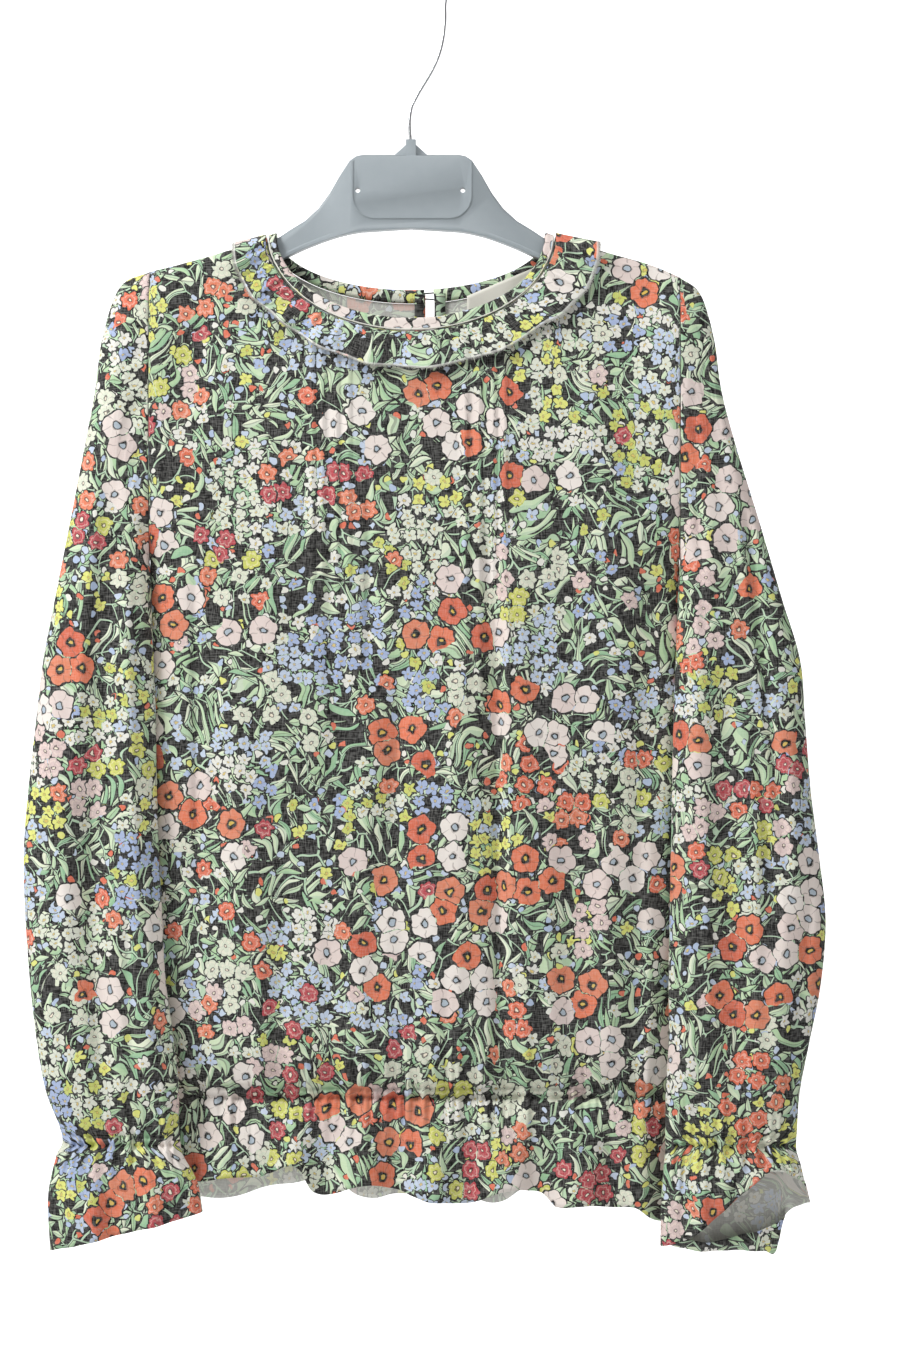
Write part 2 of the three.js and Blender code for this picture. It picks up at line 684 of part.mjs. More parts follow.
// Sleeves: each ring runs from an outer point on the outline to an inner point by the body
const LEFT_RINGS = [
  { outX: -172.3, outZ: -213, inX: -172.3, inZ: -403, midY: 0, deep: 13, square: 4 },
  { outX: -192, outZ: -222.9, inX: -173.2, inZ: -406, midY: 0, deep: 14, square: 4 },
  { outX: -203.5, outZ: -256, inX: -174, inZ: -410, midY: -0.5, deep: 14.5, square: 4 },
  { outX: -208.5, outZ: -292, inX: -174.6, inZ: -415, midY: -1, deep: 15, square: 4 },
  { outX: -215.5, outZ: -330, inX: -175, inZ: -421, midY: -2, deep: 15, square: 4 },
  { outX: -224, outZ: -376, inX: -175, inZ: -429, midY: -3.5, deep: 15, square: 3.5 },
  { outX: -234, outZ: -428, inX: -174.5, inZ: -441, midY: -5, deep: 14.5, square: 3.5 },
  { outX: -241.6, outZ: -469, inX: -174, inZ: -465, midY: -7, deep: 14.5, square: 3 },
  { outX: -246, outZ: -508, inX: -172.5, inZ: -500, midY: -10, deep: 14, square: 3 },
  { outX: -251, outZ: -555, inX: -171, inZ: -548, midY: -13, deep: 14, square: 3 },
  { outX: -253.6, outZ: -596, inX: -168.5, inZ: -590, midY: -16, deep: 14, square: 3 },
  { outX: -252, outZ: -640, inX: -165, inZ: -635, midY: -19, deep: 14, square: 3 },
  { outX: -248.5, outZ: -682, inX: -160, inZ: -678, midY: -22, deep: 14, square: 3 },
  { outX: -244, outZ: -718, inX: -154.5, inZ: -716, midY: -24.5, deep: 14, square: 3 },
  { outX: -238, outZ: -750, inX: -151, inZ: -748, midY: -26, deep: 13, square: 3 },
  { outX: -229, outZ: -773, inX: -151, inZ: -772, midY: -26.5, deep: 10.5, square: 2.6 },
  { outX: -227, outZ: -784, inX: -150, inZ: -783, midY: -27, deep: 9, square: 2.4 },
  { outX: -231, outZ: -793, inX: -148, inZ: -792, midY: -28, deep: 11, square: 2.6 },
  { outX: -236, outZ: -819, inX: -139, inZ: -808, midY: -30, deep: 13.5, square: 3 },
  { outX: -234.5, outZ: -853, inX: -135, inZ: -828, midY: -31, deep: 15, square: 3 },
];
const RIGHT_RINGS = [
  { outX: 177.3, outZ: -216.5, inX: 177.3, inZ: -403, midY: 0, deep: 13, square: 4 },
  { outX: 191, outZ: -227.5, inX: 178.4, inZ: -406, midY: 0, deep: 14, square: 4 },
  { outX: 199.8, outZ: -256, inX: 179.2, inZ: -410, midY: -0.5, deep: 14.5, square: 4 },
  { outX: 205, outZ: -292, inX: 179.8, inZ: -415, midY: -1, deep: 15, square: 4 },
  { outX: 215, outZ: -330, inX: 180, inZ: -421, midY: -2, deep: 15, square: 4 },
  { outX: 229, outZ: -376, inX: 180, inZ: -429, midY: -3.5, deep: 15, square: 3.5 },
  { outX: 244, outZ: -428, inX: 179.5, inZ: -441, midY: -5, deep: 14.5, square: 3.5 },
  { outX: 256, outZ: -469, inX: 179, inZ: -465, midY: -7, deep: 14.5, square: 3 },
  { outX: 259, outZ: -508, inX: 177.5, inZ: -500, midY: -10, deep: 14, square: 3 },
  { outX: 262.5, outZ: -555, inX: 176.5, inZ: -548, midY: -13, deep: 14, square: 3 },
  { outX: 267.5, outZ: -596, inX: 175, inZ: -590, midY: -16, deep: 14, square: 3 },
  { outX: 271.7, outZ: -640, inX: 173.5, inZ: -635, midY: -19, deep: 14, square: 3 },
  { outX: 268, outZ: -682, inX: 171, inZ: -678, midY: -22, deep: 14, square: 3 },
  { outX: 260.5, outZ: -718, inX: 168.5, inZ: -716, midY: -25, deep: 14, square: 3 },
  { outX: 254, outZ: -750, inX: 166.5, inZ: -748, midY: -27, deep: 13, square: 3 },
  { outX: 252, outZ: -775, inX: 166, inZ: -776, midY: -28, deep: 10.5, square: 2.6 },
  { outX: 251.5, outZ: -788, inX: 166, inZ: -788, midY: -28.5, deep: 9, square: 2.4 },
  { outX: 254, outZ: -797, inX: 165, inZ: -798, midY: -30, deep: 11, square: 2.6 },
  { outX: 257, outZ: -810, inX: 163, inZ: -822, midY: -32, deep: 13.5, square: 3 },
  { outX: 260, outZ: -822, inX: 162.5, inZ: -850, midY: -33, deep: 15, square: 3 },
];
// Places across a ring, -1 at the outer point and 1 at the inner one
const RING_PLACES = [-0.97, -0.88, -0.74, -0.56, -0.37, -0.18, 0, 0.18, 0.37, 0.56, 0.74, 0.88, 0.97];
const LEFT_FOLDS = [
  { top: -330, topX: -196, end: -640, endX: -205, wide: 9, out: -4 },
  { top: -430, topX: -185, end: -740, endX: -168, wide: 8, out: 3.5 },
  { top: -560, topX: -211, end: -745, endX: -199, wide: 9, out: -5 },
  { top: -500, topX: -233, end: -745, endX: -222, wide: 9, out: 2.5 },
  { top: -250, topX: -188, end: -420, endX: -200, wide: 8, out: 2 },
];
const RIGHT_FOLDS = [
  { top: -240, topX: 190, end: -430, endX: 212, wide: 8, out: -3 },
  { top: -370, topX: 219, end: -640, endX: 240, wide: 8, out: -5 },
  { top: -400, topX: 190, end: -740, endX: 180, wide: 9, out: 3.5 },
  { top: -480, topX: 208, end: -740, endX: 212, wide: 10, out: -4 },
  { top: -520, topX: 252, end: -745, endX: 238, wide: 8, out: 2.5 },
];
const CUFF_Z = -785;
const CUFF_GATHER = 1.2;
// How far the front hem of the right cuff frill is lifted above the line of its ends
const rightLift = curve(
  [
    { place: -1, front: 0, back: 0 },
    { place: -0.8, front: 10, back: -20 },
    { place: -0.5, front: 18, back: -26 },
    { place: 0, front: 22, back: -20 },
    { place: 0.5, front: 10, back: -13 },
    { place: 1, front: 0, back: 0 },
  ],
  "place",
);

function sleeveGrid(rings, folds, lift) {
  const last = rings.length - 1;
  return rings.map((ring, r) => {
    const out = new THREE.Vector3(ring.outX, ring.midY, ring.outZ);
    const into = new THREE.Vector3(ring.inX, ring.midY, ring.inZ);
    const middle = out.clone().lerp(into, 0.5);
    const half = into.clone().sub(out).multiplyScalar(0.5);
    const spot = (place, side) => {
      const p = middle.clone().addScaledVector(half, place);
      const deep = ring.deep * Math.sqrt(1 - Math.abs(place) ** ring.square);
      p.y += side * deep;
      if (Math.abs(place) === 1) return p;
      const gather = CUFF_GATHER * bell(p.z - CUFF_Z, 13);
      const crinkle = Math.cos(Math.round((place + 1) * 5.4) * Math.PI);
      const fold = side < 0 ? foldsAt(folds, p.x, p.z) : -0.7 * foldsAt(folds, p.x + 6, p.z);
      const room = smooth((1 - Math.abs(place)) / 0.3);
      const opened = smooth((CUFF_Z - 6 - p.z) / 40);
      const wave = 3.5 * opened * Math.sin(place * 7 + side * 1.3);
      p.y += side * (fold * room + gather * crinkle + wave * room);
      if (lift && r >= last - 1) {
        p.z += lift(side < 0 ? "front" : "back", place) * (r === last ? 1 : 0.45);
      }
      return p;
    };
    return [
      spot(-1, 0),
      ...RING_PLACES.map((place) => spot(place, -1)),
      spot(1, 0),
      ...[...RING_PLACES].reverse().map((place) => spot(place, 1)),
    ];
  });
}

function sleeve(name, rings, folds, lift, sign) {
  const grid = sleeveGrid(rings, folds, lift);
  // The armhole rim stays in the plane of its seam
  const fix = (q, p, r) => {
    if (r > 0) return q;
    const away = q.clone().sub(p);
    away.x = 0;
    return p.clone().add(away.setLength(CLOTH));
  };
  add(name, wallGeometry(grid, CLOTH, sign, true, fix), cloth());
}
sleeve("sleeve_left", LEFT_RINGS, LEFT_FOLDS, null, -1);
sleeve("sleeve_right", RIGHT_RINGS, RIGHT_FOLDS, rightLift, 1);

// Hanger: one moulding, lofted through upright sections
const HANGER_DEEP = 3.9;
const HANGER_LIP = 4.7;
const HANGER_END = 186;
const hangerLine = curve(
  [
    { x: 0, top: -135.8, low: -184.6 },
    { x: 32, top: -135.8, low: -186.6 },
    { x: 36, top: -136.6, low: -187.2 },
    { x: 40.3, top: -139.5, low: -188 },
    { x: 46.9, top: -149.5, low: -189.6 },
    { x: 53.5, top: -161, low: -191.6 },
    { x: 60, top: -170, low: -194 },
    { x: 66.7, top: -176.7, low: -196.6 },
    { x: 73.3, top: -181.6, low: -199.4 },
    { x: 80, top: -185.4, low: -202.6 },
    { x: 86.5, top: -189.8, low: -205.6 },
    { x: 88.5, top: -190.2, low: -206.6 },
    { x: 95, top: -191.9, low: -209.4 },
    { x: 110, top: -197, low: -215 },
    { x: 140, top: -206.5, low: -224 },
    { x: 165, top: -213.8, low: -230 },
    { x: 180, top: -221.5, low: -232.5 },
    { x: 186, top: -226, low: -232 },
  ],
  "x",
);
const HANGER_STATIONS = [
  0, 32, 36, 40.3, 46.9, 53.5, 61, 70, 80, 86.5, 89, 96, 112, 135, 158, 174, 186,
];

function hangerSection(x) {
  const reach = Math.abs(x);
  let top = hangerLine("top", reach);
  const low = hangerLine("low", reach);
  const clear = reach > 165 ? 1.2 : reach < 100 ? 1.6 : 0;
  if (reach >= 87) top = Math.min(top, shoulderZ(x) - CLOTH - GAP - clear);
  const round = Math.min(mix(1.6, 6.4, smooth((reach - 40) / 45)), (top - low) * 0.5);
  const end = (reach > 180 ? 0.75 : 1) - 0.2 * bell(reach - 94, 7);
  const ring = [];
  for (const turn of [0, 0.3, 0.65, 1]) {
    const angle = (turn * Math.PI) / 2;
    ring.push({ y: HANGER_DEEP * end * Math.sin(angle), z: top - round * (1 - Math.cos(angle)) });
  }
  const foot = Math.min(2.4, (top - round - low) * 0.4);
  ring.push({ y: HANGER_DEEP * end, z: low + foot + 1 });
  ring.push({ y: HANGER_LIP * end, z: low + foot });
  ring.push({ y: HANGER_LIP * end, z: low });
  const mirrored = ring.slice(1).reverse().map((p) => ({ y: -p.y, z: p.z }));
  return [...ring, ...mirrored].map((p) => new THREE.Vector3(x, p.y, p.z));
}

function loftGeometry(sections) {
  const count = sections[0].length;
  const points = sections.flat().flatMap((p) => [p.x, p.y, p.z]);
  const index = [];
  for (let i = 0; i < sections.length - 1; i++) {
    for (let j = 0; j < count; j++) {
      const a = i * count + j;
      const b = i * count + ((j + 1) % count);
      index.push(a, b, b + count, a, b + count, a + count);
    }
  }
  const caps = [
    { section: 0, forward: false },
    { section: sections.length - 1, forward: true },
  ];
  for (const cap of caps) {
    const outline = sections[cap.section].map((p) => new THREE.Vector2(p.y, p.z));
    const turn = Math.sign(THREE.ShapeUtils.area(outline));
    for (const [a, b, c] of THREE.ShapeUtils.triangulateShape(outline, [])) {
      const start = cap.section * count;
      const same = THREE.ShapeUtils.area([outline[a], outline[b], outline[c]]) * turn > 0;
      if (same === cap.forward) index.push(start + a, start + b, start + c);
      else index.push(start + a, start + c, start + b);
    }
  }
  const geometry = new THREE.BufferGeometry();
  geometry.setAttribute("position", new THREE.Float32BufferAttribute(points, 3));
  geometry.setIndex(index);
  return facingOut(geometry);
}
const stations = [...HANGER_STATIONS.slice(1).map((x) => -x).reverse(), ...HANGER_STATIONS];
let moulding = toSolid(loftGeometry(stations.map(hangerSection)));

// Boss for the hook, with a thin web to each side
const BOSS_TOP = -125.9;
const BOSS_WIDE = 6.6;
const WIRE = 2.4;
const boss = new THREE.BoxGeometry(BOSS_WIDE, BOSS_WIDE, 16);
boss.translate(0, 0, BOSS_TOP - 8);
const webShape = new THREE.Shape();
webShape.moveTo(-11, -140);
webShape.lineTo(11, -140);
webShape.lineTo(11, -136);
webShape.lineTo(3.2, -129);
webShape.lineTo(-3.2, -129);
webShape.lineTo(-11, -136);
const web = new THREE.ExtrudeGeometry(webShape, { depth: 2, bevelEnabled: false });
web.rotateX(Math.PI / 2);
web.translate(0, 1, 0);
moulding = moulding.add(toSolid(boss)).add(toSolid(web));

// Raised outline of the sign field on the front of the plate
const PANEL = { left: -39, right: 40.2, top: -140.5, low: -178.3, round: 15, line: 0.9, proud: 0.5 };
function fieldShape(inset) {
  const s = new THREE.Shape();
  const l = PANEL.left + inset;
  const r = PANEL.right - inset;
  const b = PANEL.low + inset;
  const k = PANEL.round - inset;
  s.moveTo(l, PANEL.top);
  s.lineTo(l, b + k);
  s.absarc(l + k, b + k, k, Math.PI, 1.5 * Math.PI, false);
  s.lineTo(r - k, b);
  s.absarc(r - k, b + k, k, 1.5 * Math.PI, 2 * Math.PI, false);
  s.lineTo(r, PANEL.top);
  return s;
}
function plate(shape, near, far) {
  const g = new THREE.ExtrudeGeometry(shape, { depth: far - near, bevelEnabled: false, curveSegments: 6 });
  g.rotateX(Math.PI / 2);
  g.translate(0, far, 0);
  return toSolid(g);
}
const lineFront = -HANGER_DEEP - PANEL.proud;
const fieldInside = plate(fieldShape(PANEL.line), lineFront - 1, -2);
moulding = moulding.add(plate(fieldShape(0), lineFront, -3).subtract(fieldInside));

// Two pin holes and the bore for the wire
for (const hole of [{ x: -35 }, { x: 34.3 }]) {
  const pin = new THREE.CylinderGeometry(1.7, 1.7, 20, 16);
  pin.translate(hole.x, 0, -159.5);
  moulding = moulding.subtract(toSolid(pin));
}
const BORE_DEEP = 8;
const bore = new THREE.CylinderGeometry(WIRE / 2 + GAP, WIRE / 2 + GAP, BORE_DEEP + 2, 16);
bore.rotateX(Math.PI / 2);
bore.translate(0, 0, BOSS_TOP - BORE_DEEP / 2 + 1);
moulding = moulding.subtract(toSolid(bore));
add("hanger", fromSolid(moulding), plastic);

// Wire hook
const HOOK_RADIUS = 25;
const hookMid = WIRE / 2 - HOOK_RADIUS;
const hookPoints = [
  { x: 0, z: BOSS_TOP - BORE_DEEP + GAP },
  { x: 0, z: -106 },
  { x: 3, z: -99 },
  { x: 15.5, z: -77 },
  { x: 19.6, z: -66 },
  { x: 22.4, z: -48 },
];
for (let k = 0; k <= 12; k++) {
  const angle = mix(-0.42, Math.PI + 0.3, k / 12);
  hookPoints.push({
    x: HOOK_RADIUS * Math.cos(angle),
    z: hookMid + HOOK_RADIUS * Math.sin(angle),
  });
}
const hookLine = hookPoints.map((p) => new THREE.Vector3(p.x, 0, p.z));
add("hook", tube(hookLine, WIRE, 40, 4), steel);

export default group;
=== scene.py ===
import math
import random

import bpy
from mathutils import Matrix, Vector, noise


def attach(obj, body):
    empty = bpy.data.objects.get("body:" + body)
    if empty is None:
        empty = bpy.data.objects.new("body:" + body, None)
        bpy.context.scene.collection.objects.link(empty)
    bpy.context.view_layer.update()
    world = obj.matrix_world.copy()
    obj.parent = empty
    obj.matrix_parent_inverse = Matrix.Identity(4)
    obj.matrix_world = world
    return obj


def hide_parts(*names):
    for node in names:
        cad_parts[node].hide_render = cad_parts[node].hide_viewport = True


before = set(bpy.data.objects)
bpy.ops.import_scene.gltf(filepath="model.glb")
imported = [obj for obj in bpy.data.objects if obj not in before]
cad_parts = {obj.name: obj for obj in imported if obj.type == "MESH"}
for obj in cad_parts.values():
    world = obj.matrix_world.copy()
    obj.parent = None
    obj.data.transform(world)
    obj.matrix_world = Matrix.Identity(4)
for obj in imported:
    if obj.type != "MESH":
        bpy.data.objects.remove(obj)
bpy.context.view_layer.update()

# A long-sleeved blouse in printed voile on a moulded hanger. The cut and the drape are
# given in millimetres, and MM turns them to metres. +X is the viewer's right, -Y the front.
MM = 0.001

# Thicknesses of the voile and of its turned hems
VOILE = 0.5
GAP = 0.3
WALL = 1.2

# Neckline: seam and free edge of the binding, as half widths and drops below the shoulder line
NECK_HALF = 95
NECK_FREE_HALF = 88.5
NECK_DROP_FRONT = 65.3
NECK_DROP_BACK = 45
NECK_FREE_DROP_FRONT = 56.7
NECK_FREE_DROP_BACK = 36
FRILL_HALF_LEFT = 117
FRILL_HALF_RIGHT = 124
FRILL_DROP_FRONT = 89.7
FRILL_DROP_BACK = 72
KEYHOLE_X = 12.5
KEYHOLE_WIDTH = 6.4
KEYHOLE_BOTTOM = -296
SHOULDER_LEFT = -172
SHOULDER_RIGHT = 177
TURN_HIGH = 8
TURN_DEEP = 7.5
TURN_LONG = TURN_HIGH * math.pi / 2
ARMHOLE_TOP_LEFT = -213
ARMHOLE_TOP_RIGHT = -216.5
UNDERARM_Z = -403
ARMHOLE_DEEP = 13
BODY_MID_X = 2.5
CHEST_Z = -246
YOKE_Z = -300
YOKE_ROWS = 26
WAIST_Z = -756
CUFF_Z = -785
HEM_LEVEL = -800
HEM_ROWS = 14
# How far gathers, pleats, the waist's groove and the hem's waves stand out, and how far the
# waves lift the hem
GATHER_DEEP = 2.1
PLEAT_DEEP = 2.2
WAIST_GROOVE = 4.0
HEM_SWING = 1.35
HEM_SCALLOP = 0.45
# The last rows of the hem, narrowly rolled, and how proud of the cloth each stands
ROLLED_HEM = ((-1, 0.5), (-2, 0.75), (-3, 0.5), (-4, -0.35))
# Where each piece is cut from along the printed cloth
CUT_AT = {
    "front": 0,
    "back": 900,
    "binding": 1800,
    "frill": 2400,
    "keyhole": 3200,
    "left sleeve": 4000,
    "right sleeve": 5000,
}


def mix(a, b, t):
    return a + (b - a) * t


def clamp(v, low=0.0, high=1.0):
    return min(high, max(low, v))


def smooth(t):
    t = clamp(t)
    return t * t * (3 - 2 * t)


def bell(d, wide):
    return math.exp(-((d / wide) ** 2))


def within(z, top, end, fade):
    return smooth((top + fade * 0.5 - z) / fade) * smooth((z - end + fade * 0.5) / fade)


def curve(names, rows):
    """A smooth curve through the rows of a table, whose first column is where each row is."""
    names = names.split()
    rows = [dict(zip(names, row)) for row in sorted(rows)]
    key = names[0]

    def slope(name, j):
        a, b = rows[max(j - 1, 0)], rows[min(j + 1, len(rows) - 1)]
        return (b[name] - a[name]) / (b[key] - a[key])

    def value(name, at):
        if at <= rows[0][key]:
            return rows[0][name]
        if at >= rows[-1][key]:
            return rows[-1][name]
        i = 0
        while rows[i + 1][key] < at:
            i += 1
        step = rows[i + 1][key] - rows[i][key]
        t = (at - rows[i][key]) / step
        return (
            (2 * t**3 - 3 * t**2 + 1) * rows[i][name]
            + (t**3 - 2 * t**2 + t) * step * slope(name, i)
            + (3 * t**2 - 2 * t**3) * rows[i + 1][name]
            + (t**3 - t**2) * step * slope(name, i + 1)
        )

    return value


shoulder = curve("x z", [
    (-195, -222.5), (-185, -217.6), (-172, -213), (-158, -209.5), (-132, -202.4), (-110, -195.4),
    (-95, -190.3), (-88, -188), (88, -188), (95, -190), (110, -194.6), (132, -201), (158, -208.4),
    (177, -216.5), (188, -223), (195, -228),
])


def shoulder_z(x):
    return -188 if abs(x) < 88 else shoulder("z", x)


# Side edges of the body, and how far the front and back stand off the middle plane
body = curve("z left right front back", [
    (-200, -172, 177, 10, 9), (-260, -172, 177, 14, 11), (-330, -172, 177, 15, 12.5),
    (-403, -172, 177, 16, 13), (-500, -172, 177, 18, 14), (-600, -171, 176.5, 20, 15),
    (-680, -168.5, 175, 23, 16.5), (-725, -165, 173.5, 25, 18), (-745, -162, 172, 20, 15.5),
    (-756, -160.5, 171.5, 16, 12.5), (-768, -160, 172, 19, 14.5), (-800, -159, 173, 22, 17),
    (-840, -158, 174, 24, 19),
])

# Pintucks of the front, stitched down to the chest
TUCKS = (-64, -57.4, -48.2, -40.3, 36.3, 45.5, 54.8, 62)
TUCK_TOP = -256
TUCK_END = -425
TUCK_HIGH = 1.5
TUCK_PRESSED = 1.6

# Long soft folds: where each starts and ends, how wide, and how far it stands out (or goes in)
FRONT_FOLDS = [
    (-395, -25, -480, -27, 7, -2.5), (-385, -50, -560, -46, 9, -3),
    (-470, -8, -620, -12, 11, -3.5), (-380, 52, -760, 62, 8, -4), (-400, 70, -740, 76, 10, 3),
    (-440, 33, -700, 30, 12, 2.5), (-430, -137, -640, -135, 9, -4),
    (-480, -112, -745, -108, 13, 3), (-300, 118, -480, 150, 16, 2),
    (-420, 158, -720, 150, 10, -4), (-560, 112, -750, 106, 12, -3),
    (-600, -78, -750, -84, 11, -3), (-250, -125, -430, -150, 14, 1.5),
    # finer creases
    (-352, -27.7, -458, -27.7, 2.6, -1.6), (-420, 63, -735, 66, 3.2, 2.4),
    (-430, 56, -720, 58, 2.8, -2.0), (-455, 45.5, -500, 46, 2.8, 1.2),
    (-415, -136, -610, -133, 3.2, 2.0), (-420, -142, -600, -140, 3.0, -1.8),
    (-400, -47, -500, -46, 3.4, 1.2), (-500, -7, -570, -10, 4.5, -1.6),
    (-330, 96, -520, 112, 9, -1.6), (-330, -92, -540, -88, 10, 1.4),
    (-300, 142, -400, 168, 6, 1.2), (-320, -150, -420, -166, 6, 1.1),
    (-560, 88, -740, 94, 7, 1.8), (-600, 15, -745, 12, 8, 1.6), (-620, -35, -745, -40, 7, 1.8),
    (-600, 128, -745, 130, 6, 1.9), (-560, 157, -740, 158, 4.5, 2.0),
]
BACK_FOLDS = [
    (-330, -60, -740, -72, 14, 3), (-380, 20, -740, 8, 13, -3), (-340, 86, -740, 95, 14, 3),
    (-430, 50, -745, 46, 11, -2.5), (-450, -118, -745, -112, 13, -3),
    (-440, 140, -745, 134, 12, -3), (-520, -30, -745, -34, 11, 2.5),
    (-300, -110, -520, -140, 12, 1.8), (-300, 115, -500, 148, 12, 1.8),
    (-560, 70, -745, 72, 6, 1.8), (-540, -92, -745, -90, 6, 1.9),
    (-600, 112, -745, 115, 5.5, 1.6), (-600, -52, -745, -55, 5, -1.5),
    (-580, 28, -745, 26, 5, 1.6), (-620, -138, -745, -136, 6, 1.6),
]

# Hem heights of the front and back, and the waves of the hem frill
hem = curve("x front back", [
    (-150, -813, -826), (-133, -811, -825.5), (-100, -806, -822), (-80, -801, -816),
    (-72, -804, -814), (-64, -816, -814), (-50, -817, -814), (-38, -815, -822), (-24, -813, -826),
    (-8, -814, -826.5), (2, -820, -825), (14, -825, -820), (30, -823.5, -818), (44, -822, -828),
    (60, -818, -827), (76, -815, -822), (86, -816, -819), (97, -827, -819), (130, -826, -821),
    (146, -828, -823), (158, -836, -828), (172, -838, -833),
])
# x, half width, and how far each wave swings at the front and at the back
HEM_WAVES = [
    (-122, 15, 4, -3), (-97, 12, -4, 3.5), (-74, 12, 5, -3), (-55, 10, -4.5, 3),
    (-34, 12, 4, -3.5), (-10, 13, -4.5, 4), (16, 13, 4.5, -3), (38, 11, -4, 3), (58, 12, 4, -4),
    (84, 14, -5, 3.5), (108, 12, 4.5, -3), (132, 12, -3.5, 3), (152, 10, 3, -2.5),
    (-140, 6, 1.6, 1.4), (-66, 4.5, -1.8, 1.4), (-22, 6, 1.8, -1.4), (3, 5, 1.5, 1.5),
    (27, 5.5, -1.6, -1.3), (71, 6, 1.8, 1.5), (96, 5, -1.6, 1.3), (120, 5.5, 1.6, -1.2),
]


def gathers(seed, start, end, pitch, up, down):
    """Little folds that an elastic draws up, uneven in place, width, depth and reach."""
    draw = random.Random(seed)
    made, at = [], start
    while at < end:
        wide = pitch * draw.uniform(0.24, 0.36)
        out = draw.uniform(0.9, 2.1) * draw.choice((1, 1, -0.6))
        reach = up * draw.uniform(0.2, 1.0) ** 1.6
        made.append((at, wide, out, reach, down * draw.uniform(0.35, 1.0)))
        at += pitch * draw.uniform(0.6, 1.45)
    return made


def gathered(folds, at, above):
    """Sum of the gathers at a place along the elastic, a height above it (or below, under 0)."""
    total = 0.0
    for place, wide, out, up, down in folds:
        d = at - place
        if abs(d) < 2.6 * wide:
            reach = up if above > 0 else down
            total += out * bell(d, wide) * math.exp(-abs(above) / reach)
    return total


WAIST_GATHERS = {
    -1: gathers(11, -168, 174, 5.0, 34, 24),
    1: gathers(12, -168, 174, 5.2, 34, 24),
}
WAIST_PLEATS = {
    -1: gathers(13, -160, 170, 17.0, 90, 44),
    1: gathers(14, -160, 170, 19.0, 90, 44),
}


def folds_at(folds, x, z):
    total = 0.0
    for top, top_x, end, end_x, wide, out in folds:
        if z > top + 30 or z < end - 30:
            continue
        at = mix(top_x, end_x, clamp((top - z) / (top - end)))
        if abs(x - at) < 3 * wide:
            total += out * bell(x - at, wide) * within(z, top, end, 60)
    return total


def hem_wave(side, x):
    return sum(
        (front if side < 0 else back) * bell(x - at, wide)
        for at, wide, front, back in HEM_WAVES
        if abs(x - at) < 3 * wide
    )


def tucks_at(x, z):
    pressed = within(z, TUCK_TOP, TUCK_END, 14)
    loose = within(z, TUCK_END, TUCK_END - 60, 50)
    total = 0.0
    for tuck in TUCKS:
        d = x - tuck
        if abs(d) < 9:
            side = 1 - clamp(-d / 5) if d < 0 else 1 - clamp(d / TUCK_PRESSED)
            total += TUCK_HIGH * side * pressed + 0.8 * bell(d, 3) * loose
    return total


def armhole_half(z, top_z):
    middle = (top_z + UNDERARM_Z) / 2
    reach = clamp((z - middle) / ((top_z - UNDERARM_Z) / 2), -1, 1)
    return 0 if z < UNDERARM_Z else ARMHOLE_DEEP * math.sqrt(1 - reach**4)


def crumple(x, z, seed):
    """The small unevenness of hung voile."""
    near = noise.noise(Vector((x / 34, z / 60, seed)))
    fine = noise.noise(Vector((x / 11, z / 26, seed + 9)))
    return 0.9 * near + 0.35 * fine


def stand_off(side, x, z):
    """How far the front (side -1) or back (side 1) stands off the middle plane."""
    name = "front" if side < 0 else "back"
    left = x < BODY_MID_X
    edge = body("left" if left else "right", z)
    across = clamp(abs((x - BODY_MID_X) / (edge - BODY_MID_X)))
    profile = math.sqrt(max(0, 1 - across**6))
    below = shoulder_z(x) - TURN_HIGH - z
    deep = mix(TURN_DEEP, body(name, z), smooth(below / 130))
    deep += (4 if side < 0 else 3) * bell(z - CHEST_Z, 34) * bell(x, 62)
    deep += folds_at(FRONT_FOLDS if side < 0 else BACK_FOLDS, x, z)
    deep += crumple(x, z, side) * smooth(below / 60)
    above = z - WAIST_Z
    deep += GATHER_DEEP * gathered(WAIST_GATHERS[side], x, above)
    deep += PLEAT_DEEP * gathered(WAIST_PLEATS[side], x, above) * smooth(abs(above) / 14)
    # two rows of elastic draw grooves into the waist
    deep -= WAIST_GROOVE * (bell(above, 2.1) + 0.8 * bell(above - 6.5, 1.8))
    frill = smooth((WAIST_Z - z) / 62)
    if frill > 0:
        deep += HEM_SWING * hem_wave(side, x) * frill
    at_edge = armhole_half(z, ARMHOLE_TOP_LEFT if left else ARMHOLE_TOP_RIGHT)
    tucks = tucks_at(x, z) if side < 0 else 0
    return math.hypot(deep * profile, at_edge * smooth((across - 0.72) / 0.28)) + tucks


def on_body(side, x, s, lift=0.0):
    """A point of the front or back, s mm down from the shoulder line, lifted off the cloth."""
    top = shoulder_z(x)
    if s >= TURN_LONG:
        z = top - TURN_HIGH - (s - TURN_LONG)
        return Vector((x, side * (stand_off(side, x, z) + lift), z))
    turn = s / TURN_HIGH
    out = stand_off(side, x, top - TURN_HIGH) + lift
    return Vector(
        (x, side * out * math.sin(turn), top - TURN_HIGH + (TURN_HIGH + lift) * math.cos(turn))
    )


def length_to(x, z):
    """The length of cloth from the shoulder line down to a height."""
    down = shoulder_z(x) - z
    if down >= TURN_HIGH:
        return TURN_LONG + down - TURN_HIGH
    return TURN_HIGH * math.acos(clamp(1 - down / TURN_HIGH, -1, 1))


# --- Sheets of cloth ------------------------------------------------------------------


def hung(name, data):
    """A new object in the scene, with this mesh, curve, lamp or camera."""
    made = bpy.data.objects.new(name, data)
    bpy.context.collection.objects.link(made)
    return made


